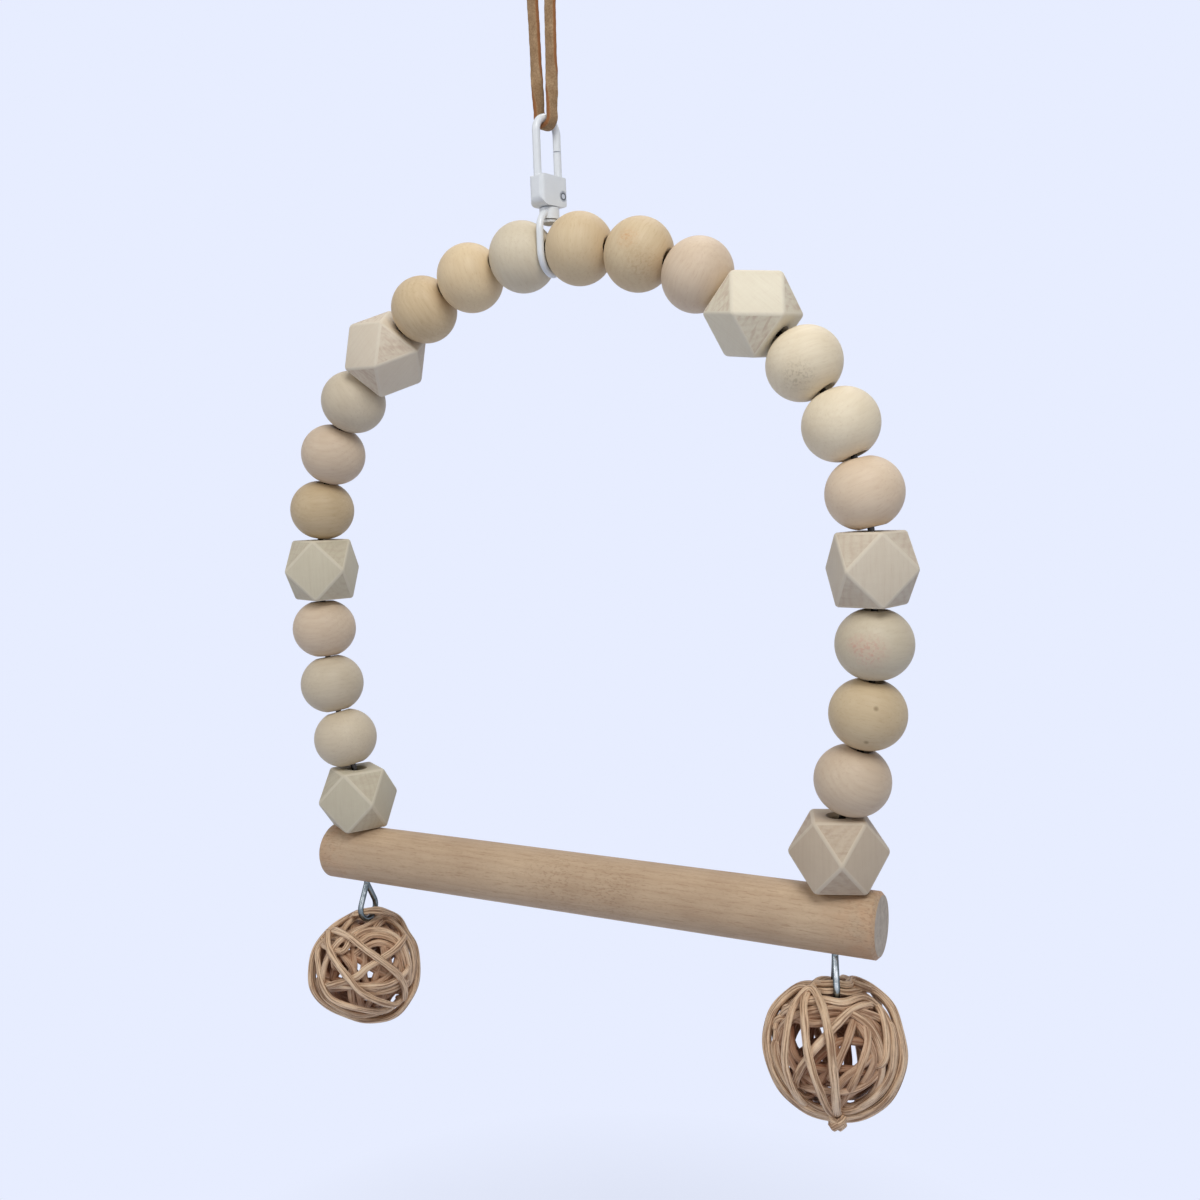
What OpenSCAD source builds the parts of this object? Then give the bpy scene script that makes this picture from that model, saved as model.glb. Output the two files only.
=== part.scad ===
// Bird swing: two dozen wooden beads on a wire arch over a dowel perch, with a rattan ball under
// each end and a swivel snap clasp hung on a suede lace.
// The origin is the hanging point, inside the lace loop just under its knot. X runs along the
// perch and Z points up, so the whole swing hangs below zero.

/* [Arch] */
// Radius of the round top of the arch, to the middle of the wire
arch_r = 80.5; // [60:0.5:120]
// Straight run below the round top on each side
arch_upright = 12; // [0:0.5:20]
// Radius of the leg that draws in below the straight run
leg_r = 125; // [100:5:260]
// How far each leg leans in at its foot, in degrees
leg_tilt = 16; // [8:1:16]

/* [Wire] */
// Diameter of the galvanised wire
wire_d = 1.6; // [1.2:0.1:2]
// Radius of the round bottom of the eye that carries a ball
eye_r = 3.4; // [3.3:0.1:4.2]
// From the tip of the eye down to the middle of its round bottom
eye_drop = 7.3; // [6.5:0.1:10]
// From the underside of the perch to the tip of the eye
eye_stem = 1; // [0.8:0.1:3]
// Turn of the left and of the right eye about the vertical, in degrees
eye_turn = [0, 20]; // [-45:1:45]

/* [Beads] */
// Diameter of a round bead
bead_d = 18; // [16.5:0.1:19.5]
// Length of a round bead along its hole
bead_l = 15.8; // [15:0.1:16.8]
// Diameter of the flat round the hole at each end of a round bead
land_d = 6.4; // [6.1:0.1:7.5]
// Width of a faceted bead between two opposite square faces
facet_w = 17.5; // [16:0.1:18.5]
// Diameter of the hole through every bead
bead_bore = 4.2; // [3.8:0.1:5]
// Diameter of the flared mouth of the hole
mouth_d = 5.6; // [5.2:0.1:6]
// Diameter of the ball that the corners of a faceted bead are rounded to
corner_d = 24; // [23:0.1:25]
// Where a square face of the left faceted beads points, from the foot up, in degrees
left_turn = [13, 24, 74]; // [0:1:90]
// Where a square face of the right faceted beads points, from the foot up, in degrees
right_turn = [63, 31, 36]; // [0:1:90]

/* [Perch] */
// Diameter of the dowel
perch_d = 15.8; // [12:0.2:20]
// From the middle of a wire hole to the end of the dowel
perch_overhang = 11.2; // [8:0.1:40]
// Width of the eased edge at each end
perch_ease = 0.8; // [0.2:0.1:2]
// Diameter of the wire holes
perch_bore = 2.6; // [2.2:0.1:3.2]

/* [Rattan balls] */
// Outside diameter of a ball
ball_d = 33; // [32:0.5:36]
// Diameter of the rattan strand
strand_d = 2; // [1.8:0.1:2]
// Distance between the middles of two strands that run side by side
strand_step = 2.6; // [2.6:0.05:2.8]
// Distance between the middles of two strands that cross
strand_cross = 3.1; // [3:0.05:3.3]

/* [Clasp] */
// Diameter of the hook rod
hook_rod = 2; // [1.6:0.1:2.4]
// Distance between the middles of the two hook legs
hook_span = 7.4; // [7:0.1:9]
// Straight length of the hook legs above the block
hook_leg = 10.7; // [9:0.1:16]
// Length of the fixed nose that comes down to the gate
nose_l = 3.8; // [2:0.1:6]
// Width of the block
block_w = 9.4; // [9.4:0.1:12]
// Height of the block
block_h = 7.4; // [7:0.1:10]
// Thickness of the block
block_t = 4.8; // [4.4:0.1:6]
// Radius of the block's lower corners
block_foot_r = 2.2; // [1:0.1:3]
// Radius of the block's upright edges
block_edge_r = 1.2; // [0.5:0.1:2]
// Turn of the clasp about the vertical, in degrees
clasp_turn = -14; // [-20:1:12]

/* [Gate] */
// Width of the gate's root across its eye
root_d = 3.4; // [3.2:0.1:3.8]
// Diameter of the gate pin
pin_d = 1.2; // [1:0.1:1.4]
// Diameter of the pin's heads
pin_head_d = 2.2; // [1.8:0.1:2.6]
// Thickness of the pin's heads
pin_head_t = 0.3; // [0.2:0.05:0.4]
// Height of the gate pin above the bottom of the block
pin_up = 2.8; // [2.7:0.1:3.2]
// Distance of the gate pin in from the block's side
pin_in = 1.9; // [1.8:0.1:2.2]
// Outside diameter of the gate's torsion coil
coil_d = 2.6; // [2.2:0.1:2.8]
// Width of the gate's torsion coil
coil_w = 0.8; // [0.6:0.1:1]

/* [Swivel] */
// Diameter of the rod that the ring is cast as
ring_rod = 1.8; // [1.4:0.1:2]
// Height of the ring over all
ring_h = 17; // [16.8:0.1:20]
// Diameter of the boss on the ring that the post turns in
boss_d = 5; // [4.4:0.1:5.4]
// Height of the boss
boss_h = 2.8; // [2:0.1:3.4]
// Diameter of the swivel post
post_d = 2.2; // [1.8:0.1:2.6]
// Diameter of the post's mushroom head
post_head_d = 4.2; // [3.6:0.1:4.4]
// Height of the mushroom head
post_head_h = 1.3; // [1:0.1:1.6]
// How far the post runs up into the block
post_seat = 1.5; // [1:0.1:1.5]

/* [Lace] */
// Width of the suede lace
lace_w = 3; // [2.4:0.1:3.4]
// Thickness of the suede lace
lace_t = 1.5; // [1.2:0.1:1.6]
// Diameter of the knot
knot_d = 9; // [8:0.5:12]
// Height of the knot
knot_h = 8; // [6:0.5:10]
// Length of the two loose tails above the knot
tail_l = 9; // [6:0.5:14]
// How far each tail leans out, in degrees
tail_lean = 16; // [0:1:30]

/* [Hidden] */
// Clearances
bead_gap = 0.12;
seat_gap = 0.15;
ring_gap = 0.25;
lace_gap = 0.45;
swivel_gap = 0.25;
gate_gap = 0.3;
slot_gap = 0.2;
fit_gap = 0.05;
turn_gap = 0.1;
bend_swell = 0.02;
over = 1;

// Route of the lace in the plane across the hook, one end at the knot to the other
LACE_ROUTE = [
    [-1.7, 6.5], [-1.7, 5.5], [-2.2, 3.5], [-2.9, 1.5], [-3.1, -1], [-3, -4], [-2.8, -9],
    [-2.7, -14], [-2.6, -19], [-2.6, -21.5], [-2.5, -24], [-2.4, -26.5], [-2.3, -29],
    [-2.2, -31], [-2.2, -33], [-2, -33.9], [-1.5, -34.6], [-0.8, -35], [0, -35.2],
    [0.8, -35], [1.5, -34.6], [2, -33.9], [2.2, -33], [2.2, -31], [2.3, -29], [2.4, -26.5],
    [2.5, -24], [2.6, -21.5], [2.6, -19], [2.7, -14], [2.8, -9], [3, -4], [3.1, -1],
    [2.9, 1.5], [2.2, 3.5], [1.7, 5.5], [1.7, 6.5]
];
// The lace lies flat on the hook and turns to face forward between these two heights
lace_flat_z = -31;
lace_front_z = -19;
lace_low = LACE_ROUTE[(len(LACE_ROUTE) - 1) / 2][1];
knot_z = LACE_ROUTE[0][1];
tail_x = LACE_ROUTE[0][0];

// Heights down the clasp
hook_z = lace_low + lace_t / 2 + lace_gap + hook_rod / 2;
bend_z = hook_z - hook_span / 2;
split_z = bend_z - nose_l;
block_top = bend_z - hook_leg;
block_z = block_top - block_h;
pin_y = block_w / 2 - pin_in;
pin_z = block_z + pin_up;
slot_w = hook_rod + 2 * slot_gap;
gate_open = 20;
slot_y = hook_span / 2 - hook_rod / 2 - (block_top - pin_z) * tan(gate_open) - gate_gap;

// Outline of a round bead: an arc struck a little off the middle of its hole
bead_round_r = (pow(bead_l / 2, 2) + pow((bead_d - land_d) / 2, 2)) / (bead_d - land_d);
bead_core_r = bead_d / 2 - bead_round_r;

// Beads on each side, by number: 12 is at the crown, and 1 stands on the perch
BEADS_PER_SIDE = 12;
FACETED = [1, 5, 9];
bend_of_bead = bead_d / arch_r * 180 / PI;
crown_half = reach(BEADS_PER_SIDE, bend_of_bead / 2) + bead_gap / 2;

// Heights down the swivel ring, which sits in the groove between the two crown beads
ring_top = block_z - swivel_gap;
ring_r = bead_core_r + sqrt(pow(bead_round_r + ring_rod / 2 + ring_gap, 2) - pow(crown_half, 2));
ring_lower_z = ring_top - ring_h + ring_rod / 2 + ring_r;
ring_leg = ring_h - ring_rod - 2 * ring_r;

// The arch, measured along the wire from the crown
arch_z = ring_lower_z - sqrt(pow(arch_r, 2) - pow(crown_half, 2));
upright_s = arch_r * PI / 2;
leg_s = upright_s + arch_upright;
foot_s = leg_s + leg_r * PI * leg_tilt / 180;

// Bead places
function is_faceted(i) = len([for (f = FACETED) if (f == i) f]) > 0;
// How far a bead reaches along the wire towards a neighbour, where the wire bends by that angle
function reach(i, bend) =
    is_faceted(i) ? facet_w / 2 : bead_l / 2 * cos(bend) + land_d / 2 * sin(bend);
function bend_at(s) = s < upright_s ? bend_of_bead : s < leg_s ? 0 : bend_of_bead * arch_r / leg_r;
function pitch(i, s) =
    let (bend = bend_at(s), share = is_faceted(i) || is_faceted(i - 1) ? 1 : 1 / 2)
    reach(i, bend * share) + reach(i - 1, bend * share) + bead_gap;
// Distance of bead i from the crown along the wire
function bead_s(i) = i == BEADS_PER_SIDE ? crown_half : bead_s(i + 1) + pitch(i + 1, bead_s(i + 1));
function lean(s) = s < upright_s ? s / arch_r * 180 / PI - 90
    : s < leg_s ? 0 : min(leg_tilt, (s - leg_s) / leg_r * 180 / PI);
function arch_point(s) =
    s < upright_s ? [arch_r * cos(lean(s)), arch_z - arch_r * sin(lean(s))]
    : s < leg_s ? [arch_r, arch_z - (s - upright_s)]
    : [
        arch_r - leg_r * (1 - cos(lean(s))) - max(0, s - foot_s) * sin(leg_tilt),
        arch_z - arch_upright - leg_r * sin(lean(s)) - max(0, s - foot_s) * cos(leg_tilt)
    ];

// The foot bead stands square on the perch, and the wire straightens through it
second_bead = arch_point(bead_s(2));
foot_top_z = second_bead[1] - reach(2, leg_tilt) - bead_gap;
foot_z = foot_top_z - facet_w / 2;
perch_top_z = foot_top_z - facet_w - seat_gap;
toe_top_z = second_bead[1] - bead_l / 2;
toe_r = (toe_top_z - perch_top_z) / sin(leg_tilt);
hole_x = second_bead[0] - (second_bead[1] - toe_top_z) * tan(leg_tilt) - toe_r * (1 - cos(leg_tilt));
toe_run = toe_r * (1 - cos(leg_tilt)) / 2;
foot_x = hole_x + toe_run;
foot_end = arch_point(foot_s);

// The perch and the eyes under it
perch_z = perch_top_z - perch_d / 2;
eye_tip_z = perch_z - perch_d / 2 - eye_stem;
eye_z = eye_tip_z - eye_drop;
eye_angle = asin(eye_r / eye_drop);
eye_leg = sqrt(pow(eye_drop, 2) - pow(eye_r, 2));

// The winding of a rattan ball: a woven line of five turns and six bights, followed twice
BALL_TURNS = 5;
BALL_BIGHTS = 6;
CROSS_STEP = 180 / BALL_TURNS;
// How far the woven line swings from the ball's middle plane, in degrees
ball_swing = 55;
// Length over which the strand keeps its height on each side of a crossing
cross_flat = 2;
cross_flat_max_share = 0.35;
ball_mid_r = ball_d / 2 - strand_d / 2 - strand_cross / 2;
// How unevenly each ball is wound, along each axis: a share of the radius, then the two angles of
// the wave that it comes and goes by
LEFT_WAVE_SHARES = [[-0.09, 60, 20], [-0.06, 120, 0], [-0.07, 60, 0]];
RIGHT_WAVE_SHARES = [[-0.04, 80, -80], [-0.09, 60, 80], [-0.08, 80, 40]];
STRAND_SIDES = 6;

function bead_name(side, i) = str("bead_", side, "_", i < 10 ? "0" : "", i);
function unit(v) = v / norm(v);

// Places its children in the turned frame of the clasp and the lace
module in_clasp() {
    rotate([0, 0, clasp_turn]) children();
}

// Stands an outline drawn in X and Y up in the plane of Y and Z
module upright_yz() {
    rotate([90, 0, 90]) children();
}

// A rod bent round a circle in the plane of X and Z, from one angle on through a sweep
module bent_rod(radius, rod, from, sweep) {
    rotate([90, 0, 0]) rotate([0, 0, from])
        rotate_extrude(angle = sweep, $fn = 120) translate([radius, 0]) circle(d = rod, $fn = 24);
}

// A rectangle with four round corners
module rounded_plate(w, h, r) {
    square([w - 2 * r, h], center = true);
    square([w, h - 2 * r], center = true);
    for (x = [-1, 1], y = [-1, 1])
        translate([x * (w / 2 - r), y * (h / 2 - r)]) circle(r = r, $fn = 32);
}

// A closed tube through points, with a ring of section points round each of them
module swept(rings) {
    n = len(rings[0]);
    last = len(rings) - 1;
    points = [for (ring = rings) each ring];
    sides = [
        for (i = [0:last - 1], j = [0:n - 1])
            let (a = i * n + j, b = i * n + (j + 1) % n)
            each [[a, b, b + n], [a, b + n, a + n]]
    ];
    first_cap = [for (j = [1:n - 2]) [0, j + 1, j]];
    last_cap = [for (j = [1:n - 2]) [last * n, last * n + j, last * n + j + 1]];
    polyhedron(points = points, faces = concat(sides, first_cap, last_cap), convexity = 10);
}

// Ring i of the flat lace, eight points round one point of its route
function lace_ring(i) =
    let (
        last = len(LACE_ROUTE) - 1,
        p = LACE_ROUTE[i],
        along = unit(LACE_ROUTE[min(i + 1, last)] - LACE_ROUTE[max(i - 1, 0)]),
        square_end = i == 0 || i == last,
        across = square_end ? [i == 0 ? -1 : 1, 0] : [along[1], -along[0]],
        twist = 90 * clamped((p[1] - lace_flat_z) / (lace_front_z - lace_flat_z)),
        w = lace_w / 2,
        t = lace_t / 2,
        corner = lace_t / 4
    )
    [
        for (q = [[t, corner - w], [t, w - corner], [t - corner, w], [corner - t, w],
                [-t, w - corner], [-t, corner - w], [corner - t, -w], [t - corner, -w]])
            let (out = q[0] * cos(twist) - q[1] * sin(twist))
            [p[0] + across[0] * out, q[0] * sin(twist) + q[1] * cos(twist), p[1] + across[1] * out]
    ];

module lace() {
    color("#9c6f47") in_clasp() swept([for (i = [0:len(LACE_ROUTE) - 1]) lace_ring(i)]);
}

// Both ends of the lace tied together: a wrapped body with two turns round it and two loose tails
module lace_knot() {
    body_d = knot_d - lace_t;
    color("#8f6540") in_clasp() {
        translate([0, 0, knot_z]) cylinder(h = knot_h, d = body_d, $fn = 48);
        for (up = [1, 3])
            translate([0, 0, knot_z + knot_h * up / 4])
                rotate_extrude($fn = 48) translate([body_d / 2 - lace_t / 4, 0]) circle(d = lace_w, $fn = 16);
        for (side = [-1, 1])
            translate([side * -tail_x, 0, knot_z + knot_h - lace_t]) rotate([0, side * tail_lean, 0])
                linear_extrude(height = tail_l + lace_t) square([lace_t, lace_w], center = true);
    }
}

// The clasp's block: a rounded plate seen from above, with a round foot seen from the broad side
module clasp_block() {
    intersection() {
        translate([0, 0, block_z]) linear_extrude(height = block_h) rounded_plate(block_t, block_w, block_edge_r);
        upright_yz() linear_extrude(height = block_t + over, center = true) {
            translate([0, block_z + block_h / 2]) rounded_plate(block_w, block_h, block_foot_r);
            translate([0, block_z + block_h * 3 / 4 - block_edge_r / 2])
                square([block_w, block_h / 2 - block_edge_r], center = true);
            translate([0, block_top - block_h / 4]) rounded_plate(block_w, block_h / 2, block_edge_r / 2);
        }
    }
}

// The bent rod of the hook: a long back leg, the round top and a short nose
module clasp_hook() {
    back_l = hook_leg + block_h / 2;
    translate([0, 0, bend_z]) {
        rotate([0, 0, 90]) bent_rod(hook_span / 2, hook_rod, 0, 180);
        translate([0, -hook_span / 2, -back_l]) cylinder(h = back_l, d = hook_rod, $fn = 32);
        translate([0, hook_span / 2, -nose_l]) cylinder(h = nose_l, d = hook_rod, $fn = 32);
    }
}

module clasp_body() {
    color("#f3f3f1") in_clasp() difference() {
        union() {
            clasp_block();
            clasp_hook();
        }
        // Slot that the gate's root works in
        translate([-slot_w / 2, slot_y, pin_z - root_d / 2 - slot_gap])
            cube([slot_w, block_w / 2 - slot_y + over, block_top - pin_z + root_d / 2 + slot_gap + over]);
        // Pin hole, with a shallow seat for each head
        translate([0, pin_y, pin_z]) rotate([0, 90, 0]) {
            cylinder(h = block_t + 2 * over, d = pin_d + 2 * fit_gap, center = true, $fn = 32);
            for (side = [-1, 1])
                translate([0, 0, side * (block_t / 2 - pin_head_t + over / 2)])
                    cylinder(h = over, d = pin_head_d + 2 * slot_gap, center = true, $fn = 32);
        }
        // Seat of the swivel post
        translate([0, 0, block_z - over])
            cylinder(h = post_seat + fit_gap + over, d = post_d + 2 * fit_gap, $fn = 32);
    }
}

module gate() {
    fork_w = coil_w + 2 * turn_gap;
    color("#eeeeec") in_clasp() difference() {
        union() {
            translate([0, hook_span / 2, pin_z])
                cylinder(h = split_z - gate_gap - pin_z, d = hook_rod, $fn = 32);
            translate([0, pin_y, pin_z]) rotate([0, 90, 0])
                cylinder(h = hook_rod, d = root_d, center = true, $fn = 48);
        }
        translate([0, pin_y, pin_z]) rotate([0, 90, 0]) {
            cylinder(h = hook_rod + 2 * over, d = pin_d + 2 * turn_gap, center = true, $fn = 32);
            cylinder(h = fork_w, d = root_d + 2 * slot_gap, center = true, $fn = 48);
        }
    }
}

module gate_pin() {
    color("#dcdcda") in_clasp() translate([0, pin_y, pin_z]) rotate([0, 90, 0]) {
        cylinder(h = block_t - pin_head_t, d = pin_d, center = true, $fn = 32);
        for (side = [-1, 1])
            translate([0, 0, side * (block_t / 2 - pin_head_t / 2)])
                cylinder(h = pin_head_t, d = pin_head_d, center = true, $fn = 32);
    }
}

// The closed torsion coil that snaps the gate shut, between the two cheeks of the gate's root
module gate_coil() {
    color("silver") in_clasp() translate([0, pin_y, pin_z]) rotate([0, 90, 0]) difference() {
        cylinder(h = coil_w, d = coil_d, center = true, $fn = 32);
        cylinder(h = coil_w + 2 * over, d = pin_d + 2 * turn_gap, center = true, $fn = 32);
    }
}

// A rivet with a domed head below the ring and its shank pressed up into the block
module swivel_post() {
    head_z = ring_top - boss_h - turn_gap;
    shank = block_z + post_seat - head_z;
    rim_h = post_head_h / 2;
    dome_r = (pow(post_head_d / 2, 2) + pow(post_head_h - rim_h, 2)) / 2 / (post_head_h - rim_h);
    color("#ececea") {
        translate([0, 0, head_z]) cylinder(h = shank, d = post_d, $fn = 32);
        translate([0, 0, head_z - rim_h]) cylinder(h = rim_h, d = post_head_d, $fn = 48);
        intersection() {
            translate([0, 0, head_z - rim_h * 2]) cylinder(h = rim_h * 2, d = post_head_d, $fn = 48);
            translate([0, 0, head_z - post_head_h + dome_r]) sphere(r = dome_r, $fn = 48);
        }
    }
}

// A long ring: round below, where the two crown beads ride on it, with a bored boss at its top
module swivel_ring() {
    color("#f3f3f1") difference() {
        union() {
            translate([0, 0, ring_lower_z]) {
                rotate([0, 0, 90]) bent_rod(ring_r, ring_rod, 180, 180);
                for (side = [-1, 1])
                    translate([0, side * ring_r, 0]) cylinder(h = ring_leg, d = ring_rod, $fn = 24);
                translate([0, 0, ring_leg]) rotate([0, 0, 90]) bent_rod(ring_r, ring_rod, 0, 180);
            }
            translate([0, 0, ring_top - boss_h]) cylinder(h = boss_h, d = boss_d, $fn = 48);
        }
        translate([0, 0, ring_top - boss_h - over])
            cylinder(h = boss_h + 2 * over, d = post_d + 2 * turn_gap, $fn = 32);
    }
}

// The wire is a trace thicker where it was bent
module wire_bend() {
    sphere(d = wire_d + bend_swell, $fn = 24);
}

// One side of the arch wire, from the crown down to its eye
module wire_side(turn) {
    foot_l = (foot_end[1] - toe_top_z) / cos(leg_tilt);
    down_l = perch_top_z - eye_tip_z;
    translate([0, 0, arch_z]) {
        bent_rod(arch_r, wire_d, 0, 90);
        translate([arch_r, 0, -arch_upright]) {
            cylinder(h = arch_upright, d = wire_d, $fn = 24);
            wire_bend();
            translate([-leg_r, 0, 0]) bent_rod(leg_r, wire_d, -leg_tilt, leg_tilt);
        }
    }
    translate([foot_end[0], 0, foot_end[1]]) {
        wire_bend();
        rotate([0, 180 + leg_tilt, 0]) {
            cylinder(h = foot_l, d = wire_d, $fn = 24);
            translate([0, 0, foot_l]) wire_bend();
        }
    }
    translate([hole_x, 0, perch_top_z]) {
        translate([toe_r, 0, 0]) bent_rod(toe_r, wire_d, 180 - leg_tilt, leg_tilt);
        wire_bend();
        translate([0, 0, -down_l]) {
            cylinder(h = down_l, d = wire_d, $fn = 24);
            rotate([0, 0, turn]) wire_eye();
        }
    }
}

// The pear-shaped eye, its tip at the origin: two slanting legs and a round bottom, in Y and Z
module wire_eye() {
    wire_bend();
    for (side = [-1, 1])
        rotate([180 + side * eye_angle, 0, 0]) {
            cylinder(h = eye_leg, d = wire_d, $fn = 24);
            translate([0, 0, eye_leg]) wire_bend();
        }
    translate([0, 0, -eye_drop]) rotate([0, 0, 90])
        bent_rod(eye_r, wire_d, 180 - eye_angle, 180 + 2 * eye_angle);
}

module arch_wire() {
    color("#8d9499") {
        wire_side(eye_turn[1]);
        mirror([1, 0, 0]) wire_side(-eye_turn[0]);
    }
}

module perch() {
    half = hole_x + perch_overhang;
    r = perch_d / 2;
    color("#d3ad87") difference() {
        translate([0, 0, perch_z]) rotate([0, 90, 0]) rotate_extrude($fn = 96) polygon([
            [0, -half], [r - perch_ease, -half], [r, perch_ease - half],
            [r, half - perch_ease], [r - perch_ease, half], [0, half]
        ]);
        for (side = [-1, 1])
            translate([side * hole_x, 0, perch_z])
                cylinder(h = perch_d + 2 * over, d = perch_bore, center = true, $fn = 32);
    }
}

// The hole through a bead, flared at both mouths, which lie that far from its middle
module bead_hole(mouth_z) {
    flare = (mouth_d - bead_bore) / 2;
    cylinder(h = 2 * (mouth_z + over), d = bead_bore, center = true, $fn = 48);
    for (side = [0, 180])
        rotate([side, 0, 0]) translate([0, 0, mouth_z - flare])
            cylinder(h = flare + over, r1 = bead_bore / 2, r2 = mouth_d / 2 + over, $fn = 48);
}

// Turned a little fuller at the middle than a ball, with a flat at each end
module round_bead() {
    difference() {
        rotate_extrude($fn = 64) intersection() {
            translate([bead_core_r, 0]) circle(r = bead_round_r, $fn = 64);
            translate([0, -bead_l / 2]) square([bead_d / 2, bead_l]);
        }
        bead_hole(bead_l / 2);
    }
}

// A cube cut back to six squares and eight triangles, with its corners rounded
module faceted_bead() {
    difference() {
        intersection() {
            cube(facet_w, center = true);
            for_corners() cube([facet_w * 2, facet_w * 2, facet_w * 2 / sqrt(3)], center = true);
            sphere(d = corner_d, $fn = 64);
        }
        bead_hole(facet_w / 2);
    }
}

// The common part of its child turned to face each of the four cube diagonals
module for_corners() {
    tilt = acos(1 / sqrt(3));
    intersection_for(spin = [45, 135, 225, 315]) rotate([0, tilt, spin]) children();
}

// A bead at its place on the wire; side is -1 on the left and 1 on the right
module bead(side, i) {
    s = bead_s(i);
    at = i == 1 ? [foot_x, foot_z] : arch_point(s);
    tilt = i == 1 ? 0 : lean(s);
    turn = side < 0 ? left_turn : right_turn;
    color(is_faceted(i) ? "#ddd0bd" : "#d9c3a5")
        translate([side * at[0], 0, at[1]]) rotate([0, side * tilt, 0])
            if (is_faceted(i)) rotate([0, 0, turn[(i - 1) / 4]]) faceted_bead();
            else round_bead();
}

// Direction of the woven line at an angle along it, pushed out of true by the waves
function woven(a, waves) =
    let (
        lat = ball_swing * sin(a),
        lon = a * BALL_TURNS / BALL_BIGHTS,
        v = [cos(lat) * cos(lon), cos(lat) * sin(lon), sin(lat)],
        push = [for (k = [0:2]) waves[k][0] * sin(waves[k][1] * v[(k + 1) % 3] + waves[k][2])]
    )
    unit(v + push);
function heading(a, waves) = (woven(a + 1, waves) - woven(a - 1, waves)) / 2;

// Angle over which the strand keeps its height on each side of the crossing at an angle
function hold(a, waves) =
    min(cross_flat_max_share * CROSS_STEP, cross_flat / ball_mid_r / norm(heading(a, waves)));

// Rings of the strand from one bight to the next: the angle along the woven line, the height from
// -1 under to 1 over, and the side of the line
function bight_rings(bight, waves) =
    let (
        peak = 90 + 180 * bight,
        side = bight < 2 * BALL_BIGHTS ? 1 : -1,
        start = peak - CROSS_STEP + hold(peak - CROSS_STEP, waves),
        stop = peak + CROSS_STEP - hold(peak + CROSS_STEP, waves)
    )
    concat(
        // Free stretch at the bight, where the second round changes over to the other side
        bight == 0 ? [] : [
            for (k = [1, 2]) [
                start + (stop - start) * k / 3,
                sin(60 * k - 90),
                bight == 2 * BALL_BIGHTS ? 1 - 2 * k / 3 : side
            ]
        ],
        [
            for (m = [1:BALL_TURNS - 1], e = m < BALL_TURNS - 1 ? [-1, 1, 0] : [-1, 1])
                let (at = peak + m * CROSS_STEP)
                e == 0 ? [at + CROSS_STEP / 2, 0, side]
                : [at + e * hold(at, waves), m % 2 == 1 ? 1 : -1, side]
        ]
    );

function strand_point(ring, waves) =
    let (
        dir = woven(ring[0], waves),
        across = unit(cross(dir, heading(ring[0], waves))),
        r = ball_mid_r + ring[1] * strand_cross / 2
    )
    r * unit(dir + ring[2] * strand_step / 2 / r * across);

// Shortest distance between the straight stretches from a to b and from c to d
function clamped(x) = max(0, min(1, x));
function stretch_distance(a, b, c, d) =
    let (
        u = b - a,
        v = d - c,
        w = a - c,
        cross_size = norm(cross(u, v)),
        s = cross_size == 0 ? 0 : clamped(((u * v) * (v * w) - (v * v) * (u * w)) / pow(cross_size, 2)),
        on_v = clamped((v * w + s * (u * v)) / (v * v)),
        on_u = clamped((on_v * (u * v) - u * w) / (u * u))
    )
    norm(w + on_u * u - on_v * v);

// Least gap between the strand along a line and the rest of itself
function least_gap(line) =
    let (last = len(line) - 2)
    min([
        for (i = [0:last], j = [i + 5:1:last])
            if (norm(line[i] - line[j]) < 4 * strand_cross)
                stretch_distance(line[i], line[i + 1], line[j], line[j + 1])
    ]) - strand_d;

// A rattan ball hung with the middle of its top strands at the origin; the bight with that number
// goes through the eye
module rattan_ball(waves, eye_bight) {
    eye_a = 90 + 180 * eye_bight;
    up = woven(eye_a, waves);
    ey = unit(cross(up, heading(eye_a, waves)));
    ex = cross(ey, up);
    line = [
        for (bight = [0:4 * BALL_BIGHTS - 1], ring = bight_rings(bight, waves))
            let (p = strand_point(ring, waves))
            [p * ex, p * ey, p * up - ball_mid_r]
    ];
    last = len(line) - 1;
    echo(least_gap_of_the_strand_to_itself = least_gap(line));
    swept([
        for (i = [0:last])
            let (
                along = unit(line[min(i + 1, last)] - line[max(i - 1, 0)]),
                side = unit(cross(along, line[i] + [0, 0, ball_mid_r])),
                top = cross(side, along)
            )
            [
                for (k = [0:STRAND_SIDES - 1])
                    let (turn = 360 / STRAND_SIDES * k)
                    line[i] + strand_d / 2 * (cos(turn) * side - sin(turn) * top)
            ]
    ]);
}

module rattan_ball_left() {
    color("#b98d5f") translate([-hole_x, 0, eye_z]) rotate([0, 0, eye_turn[0]])
        rattan_ball(LEFT_WAVE_SHARES, 4);
}

module rattan_ball_right() {
    color("#b98d5f") translate([hole_x, 0, eye_z]) rotate([0, 0, eye_turn[1]])
        rattan_ball(RIGHT_WAVE_SHARES, 8);
}

lace();
lace_knot();
clasp_body();
gate();
gate_pin();
gate_coil();
swivel_post();
swivel_ring();
arch_wire();
perch();
rattan_ball_left();
rattan_ball_right();
for (i = [1:BEADS_PER_SIDE]) {
    bead(-1, i);
    bead(1, i);
}
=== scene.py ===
"""Looks of the bird swing: new lace, knot, faceted beads and rattan balls; the rest is finished."""

import math
from itertools import product

import bpy
from mathutils import Matrix, Vector


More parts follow.
